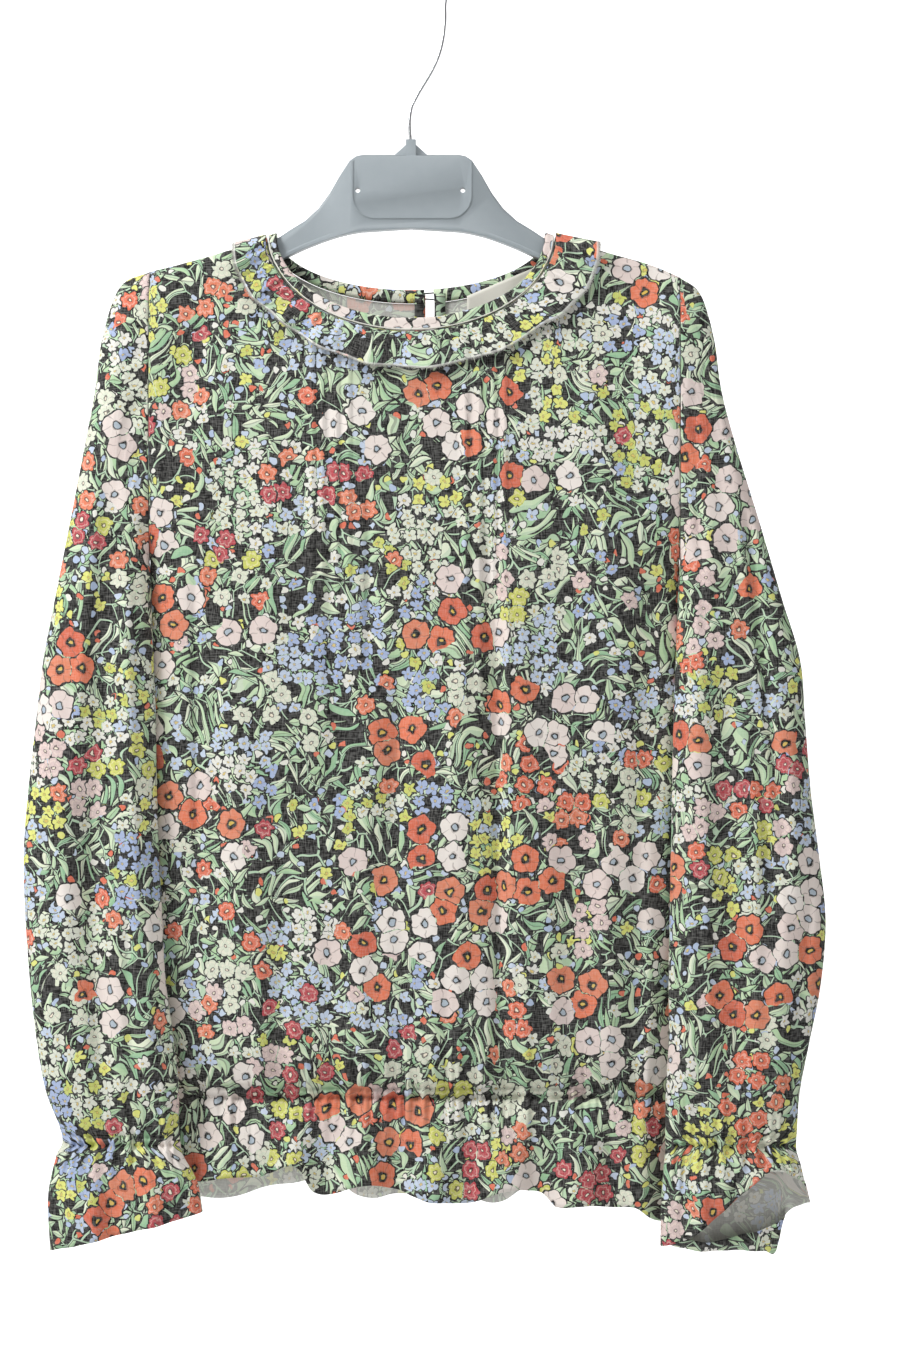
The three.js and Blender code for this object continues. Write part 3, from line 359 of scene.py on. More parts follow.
def cloth_sheet(name, grid, cut, materials, thick=VOILE, turn_over=False, tube=False, skip=None):
    """A sheet through a grid of points, with its flat cut in metres as its UV map. The second
    material is the wrong side of the cloth, which Solidify gives the inner wall."""
    rows, columns = len(grid), len(grid[0])
    points = [tuple(p * MM for p in point) for row in grid for point in row]
    faces, maps = [], []
    for r in range(rows - 1):
        for c in range(columns if tube else columns - 1):
            d = (c + 1) % columns
            if skip and skip(grid[r][c], grid[r + 1][d]):
                continue
            corners = [(r, c, c), (r, d, c + 1), (r + 1, d, c + 1), (r + 1, c, c)]
            if turn_over:
                corners.reverse()
            faces.append([a * columns + b for a, b, _ in corners])
            maps.extend(cut[a][m] for a, _, m in corners)
    mesh = bpy.data.meshes.new(name)
    mesh.from_pydata(points, [], faces)
    layer = mesh.uv_layers.new(name="cut")
    for loop, (u, v) in zip(layer.data, maps):
        loop.uv = (u * MM, v * MM)
    for material in materials:
        mesh.materials.append(material)
    mesh.shade_smooth()
    piece = hung(name, mesh)
    wall = piece.modifiers.new("voile", "SOLIDIFY")
    wall.thickness = thick * MM
    wall.offset = -1
    wall.material_offset = len(materials) - 1
    return piece


def drawn_up(grid, cut, side):
    """The cut of a panel, with its print drawn this way and that where the elastic gathers it."""
    for row, spots in zip(grid, cut):
        for c, (point, (u, v)) in enumerate(zip(row, spots)):
            near = math.exp(-abs(point.z - WAIST_Z) / 13)
            if near > 0.02:
                folds = gathered(WAIST_GATHERS[side], point.x + 1.1, 0)
                spots[c] = (u + 1.5 * near * folds, v + 0.9 * near * folds)
    return cut


def lengths_along(points):
    made = [0.0]
    for a, b in zip(points, points[1:]):
        made.append(made[-1] + (b - a).length)
    return made


def flat_cut(grid, row, start_u, v_of):
    """Columns of the flat cut from one row's own length, and the height of each row."""
    along = lengths_along(grid[row])
    return [[(start_u + u, v_of(r)) for u in along] for r in range(len(grid))]


# --- Finishes -------------------------------------------------------------------------


def colour(code):
    """An sRGB hex colour as linear RGBA."""
    parts = [int(code[i : i + 2], 16) / 255 for i in (1, 3, 5)]
    return [p / 12.92 if p <= 0.04045 else ((p + 0.055) / 1.055) ** 2.4 for p in parts] + [1.0]


def add(tree, kind, sockets=None, stops=(), **settings):
    """Adds a node, sets it, and links or fills its sockets, by name or number. Stops are the
    bands of a colour ramp: where each starts, its colour, and how far it covers."""
    made = tree.nodes.new("ShaderNode" + kind)
    for key, value in settings.items():
        setattr(made, key, value)
    for key, value in (sockets or {}).items():
        if isinstance(value, bpy.types.Node):
            value = value.outputs[0]
        if isinstance(value, bpy.types.NodeSocket):
            tree.links.new(value, made.inputs[key])
        else:
            made.inputs[key].default_value = value
    if stops:
        bands = made.color_ramp.elements
        made.color_ramp.interpolation = "CONSTANT"
        while len(bands) < len(stops):
            bands.new(0.5)
        for band, (place, code, *cover) in zip(bands, stops):
            band.position = place
            band.color = colour(code)[:3] + (cover or [1.0])
    return made


def new_finish(name):
    made = bpy.data.materials.new(name)
    made.use_nodes = True
    made.node_tree.nodes.clear()
    return made, made.node_tree


# Sizes of the print in millimetres, and its ground and greens
POPPY_PITCH = 20.5
ROSE_PITCH = 13.5
BLOSSOM_PITCH = 9.0
BERRY_PITCH = 6.0
STEM_PITCH = 13.0
STEM_WIDE = 0.95
BOUQUET = 40.0
CLEAR_OF_BORDER = 0.35
GROUND = "#1E1D1D"
LEAF_DEEP = "#7DAE90"
LEAF_RIB = "#33403A"
STEM_GREEN = "#B9D3B6"
PETAL_LINE = "#6B4F49"
CLOTH_PALE = "#F4F4EE"


def spread(tree, place, pitch, shift, uneven=0.85):
    """One motif to each cell of a scattered layout: the way from its middle, how far that is,
    its chance values, where on the cloth its middle lies, and the test that it keeps clear."""
    cell = {0: place, "Location": (shift, shift * 0.7, 0), "Scale": (1000 / pitch,) * 3}
    scaled = add(tree, "Mapping", cell).outputs[0]
    layout = {"Vector": scaled, "Scale": 1.0, "Randomness": uneven}
    cells = add(tree, "TexVoronoi", layout, voronoi_dimensions="2D")
    borders = add(
        tree, "TexVoronoi", layout, voronoi_dimensions="2D", feature="DISTANCE_TO_EDGE"
    )
    middle = cells.outputs["Position"]
    away = add(tree, "VectorMath", {0: scaled, 1: middle}, operation="SUBTRACT").outputs[0]
    chance = add(tree, "SeparateColor", {0: cells.outputs["Color"]}).outputs
    share = pitch / BOUQUET
    back = {0: middle, "Location": (-shift * share, -shift * 0.7 * share, 0), "Scale": (share,) * 3}
    spot = add(tree, "Mapping", back).outputs[0]
    clear = (borders.outputs["Distance"], "GREATER_THAN", CLEAR_OF_BORDER / pitch)
    return away, cells.outputs["Distance"], chance, spot, clear


def bouquet_of(tree, spot, shift=0.0):
    """The chance value of the bouquet that a place lies in, so that like flowers meet."""
    moved = add(tree, "Mapping", {0: spot, "Location": (shift, shift * 1.3, 0)})
    layout = {"Vector": moved, "Scale": 1.0, "Randomness": 1.0}
    zone = add(tree, "TexVoronoi", layout, voronoi_dimensions="2D")
    return add(tree, "SeparateColor", {0: zone.outputs["Color"]}).outputs[0]


def petals(tree, away, far, chance, count, size, lobe):
    """Distance from the middle as a share of the petals' edge, with count rounded petals, and
    how near a petal's own middle line the place is."""
    parts = add(tree, "SeparateXYZ", {0: away}).outputs
    angle = add(tree, "Math", {0: parts[1], 1: parts[0]}, operation="ARCTAN2")
    turned = add(tree, "Math", {0: chance, 1: 6.28, 2: angle}, operation="MULTIPLY_ADD")
    part = add(tree, "Math", {0: turned, 1: count / 2}, operation="MULTIPLY")
    wave = add(tree, "Math", {0: part}, operation="COSINE")
    wave = add(tree, "Math", {0: wave}, operation="ABSOLUTE")
    ends = {0: wave, 1: size * lobe, 2: size * (1 - lobe)}
    edge = add(tree, "Math", ends, operation="MULTIPLY_ADD")
    share = add(tree, "Math", {0: far, 1: edge}, operation="DIVIDE")
    return share.outputs[0], wave.outputs[0]


def where(tree, tests, cover=1.0):
    """The cover where every test holds, and none elsewhere. Each test is a value, how it is
    compared, and with what."""
    for value, sense, limit in tests:
        test = add(tree, "Math", {0: value, 1: limit}, operation=sense)
        cover = add(tree, "Math", {0: cover, 1: test}, operation="MULTIPLY")
    return cover


def painted(tree, under, over, cover):
    """A colour laid over another, as far as it covers it."""
    return add(tree, "Mix", {0: cover, 6: under, 7: over}, data_type="RGBA").outputs[2]


def printed_over(tree, under, motif, share, rim, tests):
    """A motif laid over what is there, with a rim of bare ground round it."""
    shown = where(tree, tests)
    for reach, over in ((1 + rim, colour(GROUND)), (1.0, motif)):
        under = painted(tree, under, over, where(tree, [(share, "LESS_THAN", reach)], shown))
    return under


def flower(tree, chance, hues, share, eye):
    """A flower's colour by chance, with its eye, out to shares of the petals' edge."""
    hue = add(tree, "ValToRGB", {0: chance}, hues).outputs[0]
    middle = add(tree, "ValToRGB", {0: share}, eye).outputs
    return painted(tree, hue, middle[0], middle[1])


def leaves(tree, place, under, turn, wide, long, shift, kept):
    """Curved pointed leaves: stretched cells, bent by the swirl that the place already has,
    each with its midrib and a deeper half."""
    turned = add(tree, "Mapping", {0: place, "Location": (shift, 0, 0), "Rotation": (0, 0, turn)})
    scaled = add(tree, "Mapping", {0: turned, "Scale": (1000 / wide, 1000 / long, 1)})
    layout = {"Vector": scaled, "Scale": 1.0, "Randomness": 0.9, "Exponent": 1.25}
    cells = add(tree, "TexVoronoi", layout, voronoi_dimensions="2D", distance="MINKOWSKI")
    chance = add(tree, "SeparateColor", {0: cells.outputs["Color"]}).outputs
    away = add(tree, "VectorMath", {0: scaled, 1: cells.outputs["Position"]}, operation="SUBTRACT")
    across = add(tree, "SeparateXYZ", {0: away}).outputs[0]
    share = add(tree, "Math", {0: cells.outputs["Distance"], 1: 0.36}, operation="DIVIDE")
    green = add(tree, "ValToRGB", {0: chance[0]}, MINT).outputs[0]
    deeper = where(tree, [(across, "GREATER_THAN", 0.03)], 0.3)
    green = painted(tree, green, colour(LEAF_DEEP), deeper)
    middle = add(tree, "Math", {0: across}, operation="ABSOLUTE")
    rib = where(tree, [(middle, "LESS_THAN", 0.05), (chance[2], "GREATER_THAN", 0.55)], 0.5)
    green = painted(tree, green, colour(LEAF_RIB), rib)
    return printed_over(tree, under, green, share, 0.36, [(chance[1], "LESS_THAN", kept)])


def stems(tree, place, under, shift):
    """Thin curved stems, along the borders between swirled cells."""
    cell = {0: place, "Location": (shift,) * 3, "Scale": (1000 / STEM_PITCH,) * 3}
    scaled = add(tree, "Mapping", cell)
    layout = {"Vector": scaled, "Scale": 1.0, "Randomness": 1.0}
    borders = add(
        tree, "TexVoronoi", layout, voronoi_dimensions="2D", feature="DISTANCE_TO_EDGE"
    )
    ends = {0: borders.outputs["Distance"], 1: STEM_WIDE / 2 / STEM_PITCH}
    share = add(tree, "Math", ends, operation="DIVIDE")
    parted = add(tree, "TexNoise", {"Vector": scaled, "Scale": 0.8}, noise_dimensions="2D")
    shown = [(parted, "GREATER_THAN", 0.42)]
    return printed_over(tree, under, colour(STEM_GREEN), share, 0.9, shown)


def swayed(tree, place, scale, size, detail):
    """The same place, shifted a little by a slow noise, so that nothing drawn is regular."""
    clouds = {"Vector": place, "Scale": scale, "Detail": detail}
    shift = add(tree, "TexNoise", clouds, noise_dimensions="2D").outputs["Color"]
    shift = add(tree, "VectorMath", {0: shift, 1: (0.5, 0.5, 0.5)}, operation="SUBTRACT")
    moved = {0: shift, 1: (size, size, 0), 2: place}
    return add(tree, "VectorMath", moved, operation="MULTIPLY_ADD").outputs[0]


# Where each colour starts among the chance values, and in an eye how far it covers
MINT = [(0.0, "#C8DDB8"), (0.24, "#B6D3A8"), (0.44, "#9FC69E"), (0.58, "#D4E3C2"), (0.8, "#E4EBD2")]
BERRIES = [
    (0.0, "#C4D0E2"), (0.35, "#B2C2DC"), (0.5, "#E6E5DC"), (0.68, "#DDDF7C"), (0.82, "#DD7459")
]
BLOSSOMS = [
    (0.0, "#DFE3D2"), (0.2, "#C2CFE2"), (0.34, "#DFE17C"), (0.54, "#DDE0D2"), (0.7, "#CBD16E"),
    (0.78, "#A9B9DA"), (0.88, "#E4E3DB"),
]
BLOSSOM_EYE = [(0.0, "#D9BE62", 0.9), (0.18, "#4A4A42", 0.6), (0.28, "#FFFFFF", 0.0)]
ROSES = [
    (0.0, "#DF7052"), (0.24, "#BC4B53"), (0.4, "#CFD268"), (0.5, "#DADFCB"), (0.68, "#E2805F"),
    (0.9, "#DCC6C2"),
]
ROSE_EYE = [
    (0.0, "#F0E6D2", 1.0), (0.14, "#3E2A28", 0.8), (0.27, "#FFFFFF", 0.0), (0.6, "#FFF1E2", 0.3),
    (0.74, "#FFFFFF", 0.0),
]
PALE_POPPIES = [(0.0, "#E8DCD5"), (0.4, "#E2D2CC"), (0.7, "#ECE4DD")]
PALE_EYE = [
    (0.0, "#AEBBC6", 1.0), (0.18, "#252424", 1.0), (0.28, "#9F918C", 0.5), (0.35, "#FFFFFF", 0.0)
]
CORAL_POPPIES = [(0.0, "#E27D5C"), (0.4, "#DE8767"), (0.7, "#D66D52")]
CORAL_EYE = [
    (0.0, "#D9B855", 1.0), (0.13, "#262322", 1.0), (0.33, "#8E3F33", 0.5), (0.42, "#FFFFFF", 0.0)
]


def voile_print(tree, cut):
    """The print: on a washed black ground, mint leaves and stems, berries, small blossoms,
    roses and poppies, each kind in loose bouquets of its own."""
    swirl = swayed(tree, cut, 26.0, 0.034, 1.0)
    drawn = swayed(tree, cut, 210.0, 0.0030, 0.0)

    look = leaves(tree, swirl, colour(GROUND), 0.6, 5.6, 25, 0.31, 0.78)
    look = stems(tree, swirl, look, 0.4)
    look = leaves(tree, swirl, look, -0.5, 5.2, 27, 0.77, 0.55)
    look = leaves(tree, swirl, look, 1.3, 6.2, 17, 0.13, 0.3)

    away, far, chance, spot, clear = spread(tree, drawn, BERRY_PITCH, 3.3)
    share = add(tree, "Math", {0: far, 1: 0.35}, operation="DIVIDE")
    hue = add(tree, "ValToRGB", {0: chance[0]}, BERRIES).outputs[0]
    shown = [clear, (chance[1], "LESS_THAN", 0.2)]
    look = printed_over(tree, look, hue, share, 0.35, shown)

    # Each row: pitch, shift, unevenness, petals, size, lobes, the bouquets that are full of it,
    # the share of cells it takes there and elsewhere, its rim, its colours and its eye
    for pitch, shift, uneven, count, size, lobe, low, high, full, rare, rim, hues, eye in (
        (BLOSSOM_PITCH, 1.7, 0.7, 5, 0.5, 0.42, 0.75, 1.0, 0.8, 0.12, 0.3, BLOSSOMS, BLOSSOM_EYE),
        (ROSE_PITCH, 6.1, 0.75, 7, 0.47, 0.24, 0.3, 0.52, 0.68, 0.05, 0.18, ROSES, ROSE_EYE),
        (POPPY_PITCH, 9.4, 0.7, 5, 0.47, 0.12, 0.0, 0.27, 0.84, 0.02, 0.13, PALE_POPPIES, PALE_EYE),
    ):
        away, far, chance, spot, clear = spread(tree, drawn, pitch, shift, uneven)
        bouquet = bouquet_of(tree, spot)
        kind = bouquet_of(tree, spot, shift + 1.9)
        share, wave = petals(tree, away, far, chance[2], count, size, lobe)
        tinted = add(tree, "Math", {0: chance[0], 1: 0.1, 2: kind}, operation="MULTIPLY_ADD")
        if hues is PALE_POPPIES:
            tinted = chance[0]
        hue = flower(tree, tinted, hues, share, eye)
        if hues is PALE_POPPIES:
            coral = flower(tree, chance[0], CORAL_POPPIES, share, CORAL_EYE)
            hue = painted(tree, hue, coral, where(tree, [(kind, "GREATER_THAN", 0.7)]))
        # dark lines between the petals, from part of the way out
        notch = where(tree, [(wave, "LESS_THAN", 0.13), (share, "GREATER_THAN", 0.46)], 0.4)
        hue = painted(tree, hue, colour(PETAL_LINE), notch)
        crowd = where(tree, [(bouquet, "GREATER_THAN", low), (bouquet, "LESS_THAN", high)])
        crowd = add(tree, "Math", {0: crowd, 1: full, 2: rare}, operation="MULTIPLY_ADD")
        shown = [clear, (chance[1], "LESS_THAN", crowd)]
        look = printed_over(tree, look, hue, share, rim, shown)
    return look


def printed_voile(name, fade):
    """Cotton voile, plain woven and reactive printed: matt, with a soft bloom from its fine
    fibres. fade is how far the ground cloth's own pale colour shows, more on the wrong side."""
    made, tree = new_finish(name)
    cut = add(tree, "UVMap", uv_map="cut").outputs[0]
    look = voile_print(tree, cut)
    # Threads: voile has about 30 to the centimetre, drawn here at 0.9 mm so that they show
    weave = 0.0
    for across, along in ((1100, 200), (180, 1100)):
        way = add(tree, "Mapping", {0: cut, "Scale": (across, along, 1)})
        streaks = {"Vector": way, "Scale": 1.0, "Detail": 1.0}
        thread = add(tree, "TexNoise", streaks, noise_dimensions="2D")
        weave = add(tree, "Math", {0: thread, 1: weave}, operation="ADD").outputs[0]
    bloom = add(tree, "Math", {0: weave, 1: 0.22, 2: fade - 0.2}, operation="MULTIPLY_ADD")
    look = painted(tree, look, colour(CLOTH_PALE), bloom)
    bump = add(tree, "Bump", {"Strength": 0.25, "Distance": 0.0003, "Height": weave})
    matt = {
        "Base Color": look,
        "Roughness": 0.88,
        "Normal": bump,
        "Sheen Weight": 0.08,
        "Sheen Roughness": 0.4,
        "Specular IOR Level": 0.2,
    }
    add(tree, "OutputMaterial", {0: add(tree, "BsdfPrincipled", matt)})
    return made


def plain_finish(name, code, roughness, grain_mm, metallic=0.0, grain=0.0):
    """A finish of one colour, with a fine grain in its gloss and relief. grain is how much paler
    the grain's specks are."""
    made, tree = new_finish(name)
    spot = add(tree, "TexCoord").outputs["Object"]
    speck = add(tree, "TexNoise", {"Vector": spot, "Scale": 1000 / grain_mm, "Detail": 3.0})
    look = colour(code)
    if grain:
        paler = add(tree, "Math", {0: speck, 1: grain}, operation="MULTIPLY")
        look = painted(tree, look, [0.9, 0.9, 0.9, 1], paler)
    rough = add(tree, "Math", {0: speck, 1: 0.12, 2: roughness - 0.06}, operation="MULTIPLY_ADD")
    bump = add(tree, "Bump", {"Strength": 0.1, "Distance": 0.0002, "Height": speck})
    surface = {"Base Color": look, "Roughness": rough, "Metallic": metallic, "Normal": bump}
    add(tree, "OutputMaterial", {0: add(tree, "BsdfPrincipled", surface)})
    return made


# The print stands full on the right side and has hardly come through to the wrong side
voile = printed_voile("voile_print_right_side", 0.03)
voile_back = printed_voile("voile_print_wrong_side", 0.62)
# Moulded in grey: a soft wide sheen, with slight flow clouds
hanger_plastic = plain_finish("polystyrene_moulded_satin", "#959EA3", 0.42, 6, grain=0.05)
# Bright drawn wire: narrow clear reflections along its length
hook_wire = plain_finish("steel_wire_drawn_bright", "#C4C6C8", 0.28, 0.8, metallic=1.0)
# Woven tape: matt, with the fleck of its threads
label_tape = plain_finish("polyester_tape_woven", "#E2DFD3", 0.8, 0.6, grain=0.2)
# Cast and dyed through: dark, with a small gloss
button_shell = plain_finish("polyester_button_dyed", "#33302F", 0.3, 2)
# Matt and nearly white, for the narrow strip along the neck binding's seam
pale_seam_strip = plain_finish("pale_seam_strip_matt", "#E6E4DA", 0.8, 0.5, grain=0.1)
# Twisted thread: dark and quite matt
thread_loop = plain_finish("cotton_thread_twisted", "#2B2A29", 0.85, 0.5)

# --- Front and back -------------------------------------------------------------------

# Columns that crowd at the neck corner, and where each has spread to below the yoke
corner_low = curve("x low", [
    (70.5, 70.5), (76.6, 75.8), (83, 81.4), (88.6, 87), (92.4, 92.6), (94.3, 98), (95, 103.5),
    (103, 110), (118, 121), (135, 135),
])


def low_x(x):
    reach = abs(x)
    return math.copysign(corner_low("low", reach), x) if 70 < reach < 135 else x


def columns_across(pitch, exact):
    """Column places from side to side, at the pitch, but crowded at the neck corners and with
    the exact places that tucks or the keyhole need."""
    neck = [math.copysign(a, s) for s in (-1, 1) for a in (89.6, 91.5, 93, 94, 94.7, 95, 96.2, 98)]
    fixed = sorted([SHOULDER_LEFT, SHOULDER_RIGHT, *neck, *exact])
    made = []
    for a, b in zip(fixed, fixed[1:]):
        steps = max(1, round((b - a) / pitch))
        made.extend(mix(a, b, k / steps) for k in range(steps))
    return [*made, SHOULDER_RIGHT]


def panel_grid(side, columns):
    """The front (side -1) or back (side 1), row by row from neck and shoulder to the hem, and
    each point's height on the flat cut."""
    drop = NECK_DROP_FRONT if side < 0 else NECK_DROP_BACK
    name = "front" if side < 0 else "back"
    grid, rows_v = [], []

    def neck_start(x):
        share = abs(x / NECK_HALF)
        if share >= 1:
            return 0
        return length_to(x, shoulder_z(x) - drop * math.sqrt(1 - share**2))

    def put(spots):
        grid.append([on_body(side, x, s) for x, s in spots])
        rows_v.append([shoulder_z(x) - s for x, s in spots])

    for k in range(YOKE_ROWS + 1):
        f = (k / YOKE_ROWS) ** 1.35
        spots = []
        for x in columns:
            at = mix(x, low_x(x), f)
            spots.append((at, mix(neck_start(x), length_to(at, YOKE_Z), f)))
        put(spots)

    def placed(x, z):
        left = x < BODY_MID_X
        chest = (SHOULDER_LEFT if left else SHOULDER_RIGHT) - BODY_MID_X
        edge = body("left" if left else "right", z)
        return mix(BODY_MID_X, edge, (low_x(x) - BODY_MID_X) / chest)

    for z in heights:
        put([(placed(x, z), length_to(placed(x, z), z)) for x in columns])
    for k in range(1, HEM_ROWS + 1):
        spots = []
        for x in columns:
            at = placed(x, HEM_LEVEL)
            low = hem(name, at) + HEM_SCALLOP * hem_wave(side, at)
            z = mix(heights[-1], low, k / HEM_ROWS)
            spots.append((at, length_to(at, z)))
        put(spots)
    for row, proud in ROLLED_HEM:
        for point in grid[row]:
            point.y += side * proud
    for row in grid:
        for point in row:
            point.y = side * max(side * point.y, GAP / 2)
    return grid, rows_v


def steps_down(*runs):
    """Heights of rows, each run as (from, to, pitch)."""
    made = []
    for start, end, pitch in runs:
        count = max(1, round((start - end) / pitch))
        made.extend(mix(start, end, (k + 1) / count) for k in range(count))
    return made


# Rows lie closer towards the gathers of the waist. One row of the chest gives the cut its width.
heights = steps_down((YOKE_Z, -700, 5.8), (-700, -738, 3.6), (-738, -776, 1.7))
CHEST_ROW = YOKE_ROWS + 50
FRONT_PITCH = 1.3
BACK_PITCH = 1.6


def panel_cut(grid, rows_v, start_u, side):
    along = lengths_along(grid[CHEST_ROW])
    cut = [[(start_u + u, v) for u, v in zip(along, heights_v)] for heights_v in rows_v]
    return drawn_up(grid, cut, side)


tuck_edges = [t + d for t in TUCKS for d in (-2.5, 0, TUCK_PRESSED)]
front_grid, front_v = panel_grid(-1, columns_across(FRONT_PITCH, tuck_edges))
front_cut = panel_cut(front_grid, front_v, CUT_AT["front"], -1)
front = cloth_sheet("front_panel", front_grid, front_cut, [voile, voile_back], turn_over=True)

keyhole_left = KEYHOLE_X - KEYHOLE_WIDTH / 2
keyhole_right = KEYHOLE_X + KEYHOLE_WIDTH / 2
keyhole_places = [keyhole_left, KEYHOLE_X, keyhole_right]
back_grid, back_v = panel_grid(1, columns_across(BACK_PITCH, keyhole_places))
back_cut = panel_cut(back_grid, back_v, CUT_AT["back"], 1)


def in_keyhole(a, b):
    x, z = (a.x + b.x) / 2, (a.z + b.z) / 2
    return keyhole_left < x < keyhole_right and z > KEYHOLE_BOTTOM + 2


back = cloth_sheet("back_panel", back_grid, back_cut, [voile, voile_back], skip=in_keyhole)

# --- Neck binding, collar frill, keyhole binding ----------------------------------------


def around_neck(turn, half, drop_front, drop_back, power=1.0):
    in_front = math.sin(turn) >= 0
    x = half * math.cos(turn)
    drop = (drop_front if in_front else drop_back) * abs(math.sin(turn)) ** power
    return (-1 if in_front else 1), x, shoulder_z(x) - drop


NECK_FROM = 2 * math.pi - math.acos(keyhole_left / NECK_HALF)
NECK_TO = -math.acos(keyhole_right / NECK_HALF)


def neck_turns(count):
    """Turns round the neck, closer together where the strip goes over a shoulder."""
    made = [NECK_FROM]
    stretches = [
        (NECK_FROM, math.pi, 0.24, lambda t: 2 * (mix(0.5 + t / 2, smooth(0.5 + t / 2), 0.78)) - 1),
        (math.pi, 0, 0.52, lambda t: mix(t, smooth(t), 0.78)),
        (0, NECK_TO, 0.24, lambda t: 2 * mix(t / 2, smooth(t / 2), 0.78)),
    ]
    for start, end, share, ease in stretches:
        steps = round(count * share)
        made.extend(mix(start, end, ease((k + 1) / steps)) for k in range(steps))
    return made


# Each row of the binding: share of its width from the seam to the free edge, and its lift
BAND_ROWS = [
    (0.0, 0.3), (0.04, 1.0), (0.14, 1.15), (0.22, 0.65), (0.45, 0.8), (0.75, 0.85), (0.95, 0.65),
    (1.02, 0.0), (0.97, -0.9), (0.7, -1.7), (0.3, -1.8), (0.0, -1.7),
]
band_turns = neck_turns(330)
band_grid = []
for share, lift in BAND_ROWS:
    row = []
    for turn in band_turns:
        side, x, z = around_neck(
            turn,
            mix(NECK_HALF - 0.8, NECK_FREE_HALF, share),
            mix(NECK_DROP_FRONT - GAP, NECK_FREE_DROP_FRONT, share),
            mix(NECK_DROP_BACK - GAP, NECK_FREE_DROP_BACK, share),
        )
        row.append(on_body(side, x, length_to(x, z), lift))
    band_grid.append(row)
band_cut = flat_cut(band_grid, 0, CUT_AT["binding"], lambda r: -1000 + 2.1 * r)
band = cloth_sheet("neck_binding", band_grid, band_cut, [voile], thick=0.35)
# a narrow pale strip runs along the binding's seam, on its most raised row
band.data.materials.append(pale_seam_strip)
for face in band.data.polygons:
    if face.index // (len(band_turns) - 1) == 1:
        face.material_index = 1

FRILL_GATHERS = gathers(21, -2, 6.5, 0.05, 1, 1)


def frill_point(turn, w):
    """A point of the frill, a share w of its width out from the seam."""
    half = FRILL_HALF_LEFT if math.cos(turn) < 0 else FRILL_HALF_RIGHT
    # nineteen uneven waves go round the neck
    wave = math.sin(turn * 19 + 1.6 * math.sin(turn * 2.7))
    side, x, z = around_neck(
        turn,
        mix(NECK_HALF + 0.6, half, w),
        mix(NECK_DROP_FRONT + 0.6, FRILL_DROP_FRONT, w),
        mix(NECK_DROP_BACK + 0.6, FRILL_DROP_BACK, w),
        mix(1, 1.12, w),
    )
    # the two ends hang straight down beside the keyhole
    end = NECK_FROM if turn > 1 else NECK_TO
    near = smooth(1 - abs(turn - end) / 0.7)
    x -= mix(0.6, half - NECK_HALF, w) * math.cos(end) * near
    pucker = 0.0
    for place, wide, out, _, _ in FRILL_GATHERS:
        if abs(turn - place) < 0.05:
            pucker += out * bell(turn - place, wide)
    lift = WALL + GAP + 0.2 + w * (3.4 + 1.7 * wave) + 0.8 * pucker * (1 - 0.55 * w)
    z -= 0.9 * w * wave
    return on_body(side, x, length_to(x, z), lift)


frill_turns = neck_turns(520)
FRILL_SHARES = [0, 0.03, 0.08, 0.16, 0.26, 0.38, 0.5, 0.62, 0.74, 0.85, 0.94, 1.0]
frill_grid = [[frill_point(turn, share) for turn in frill_turns] for share in FRILL_SHARES]
frill_cut = flat_cut(frill_grid, 8, CUT_AT["frill"], lambda r: -400 - 27 * FRILL_SHARES[r])
frill = cloth_sheet(
    "collar_frill_flounce", frill_grid, frill_cut, [voile, voile_back], thick=0.4, turn_over=True
)

# The frill's raw edge: the print has worn off its last threads, and they fray
for face in frill.data.polygons:
    if face.index // (len(frill_turns) - 1) == len(FRILL_SHARES) - 2:
        face.material_index = 1
FRAY_THREADS = 5
FRAY_THICK = 0.15
FRAY_LEAST_STEP = 0.4
THIRD_TURN = 2.094
draw = random.Random(5)
fray_points, fray_faces = [], []
edge = frill_grid[-1]
for k in range(len(edge) - 1):
    if (edge[k + 1] - edge[k]).length < FRAY_LEAST_STEP:
        continue
    for _ in range(FRAY_THREADS):
        root = edge[k].lerp(edge[k + 1], draw.random())
        down = (edge[k] - frill_grid[-2][k]).normalized()
        along = (edge[k + 1] - edge[k]).normalized()
        tip = root + down * draw.uniform(0.5, 1.7) + along * draw.uniform(-0.9, 0.9)
        tip.y += draw.uniform(-0.4, 0.4)
        root = root - down * 0.6
        a = len(fray_points)
        for end, size in ((root, FRAY_THICK), (tip, FRAY_THICK * 0.5)):
            for step in range(3):
                angle = step * THIRD_TURN
                shift = along * math.cos(angle) + Vector((0, 1, 0)) * math.sin(angle)
                fray_points.append((end + shift * size) * MM)
        fray_faces += [(a, a + 1, a + 4, a + 3), (a + 1, a + 2, a + 5, a + 4)]
        fray_faces += [(a + 2, a, a + 3, a + 5), (a, a + 2, a + 1), (a + 3, a + 4, a + 5)]
fray_mesh = bpy.data.meshes.new("frill_fray")
fray_mesh.from_pydata(fray_points, [], fray_faces)
fray = hung("frill_fray", fray_mesh)
fray_mesh.materials.append(plain_finish("cotton_ends_frayed", "#C9C8C2", 0.95, 1))


def seam_back_z(x):
    return shoulder_z(x) - NECK_DROP_BACK * math.sqrt(1 - (x / NECK_HALF) ** 2)


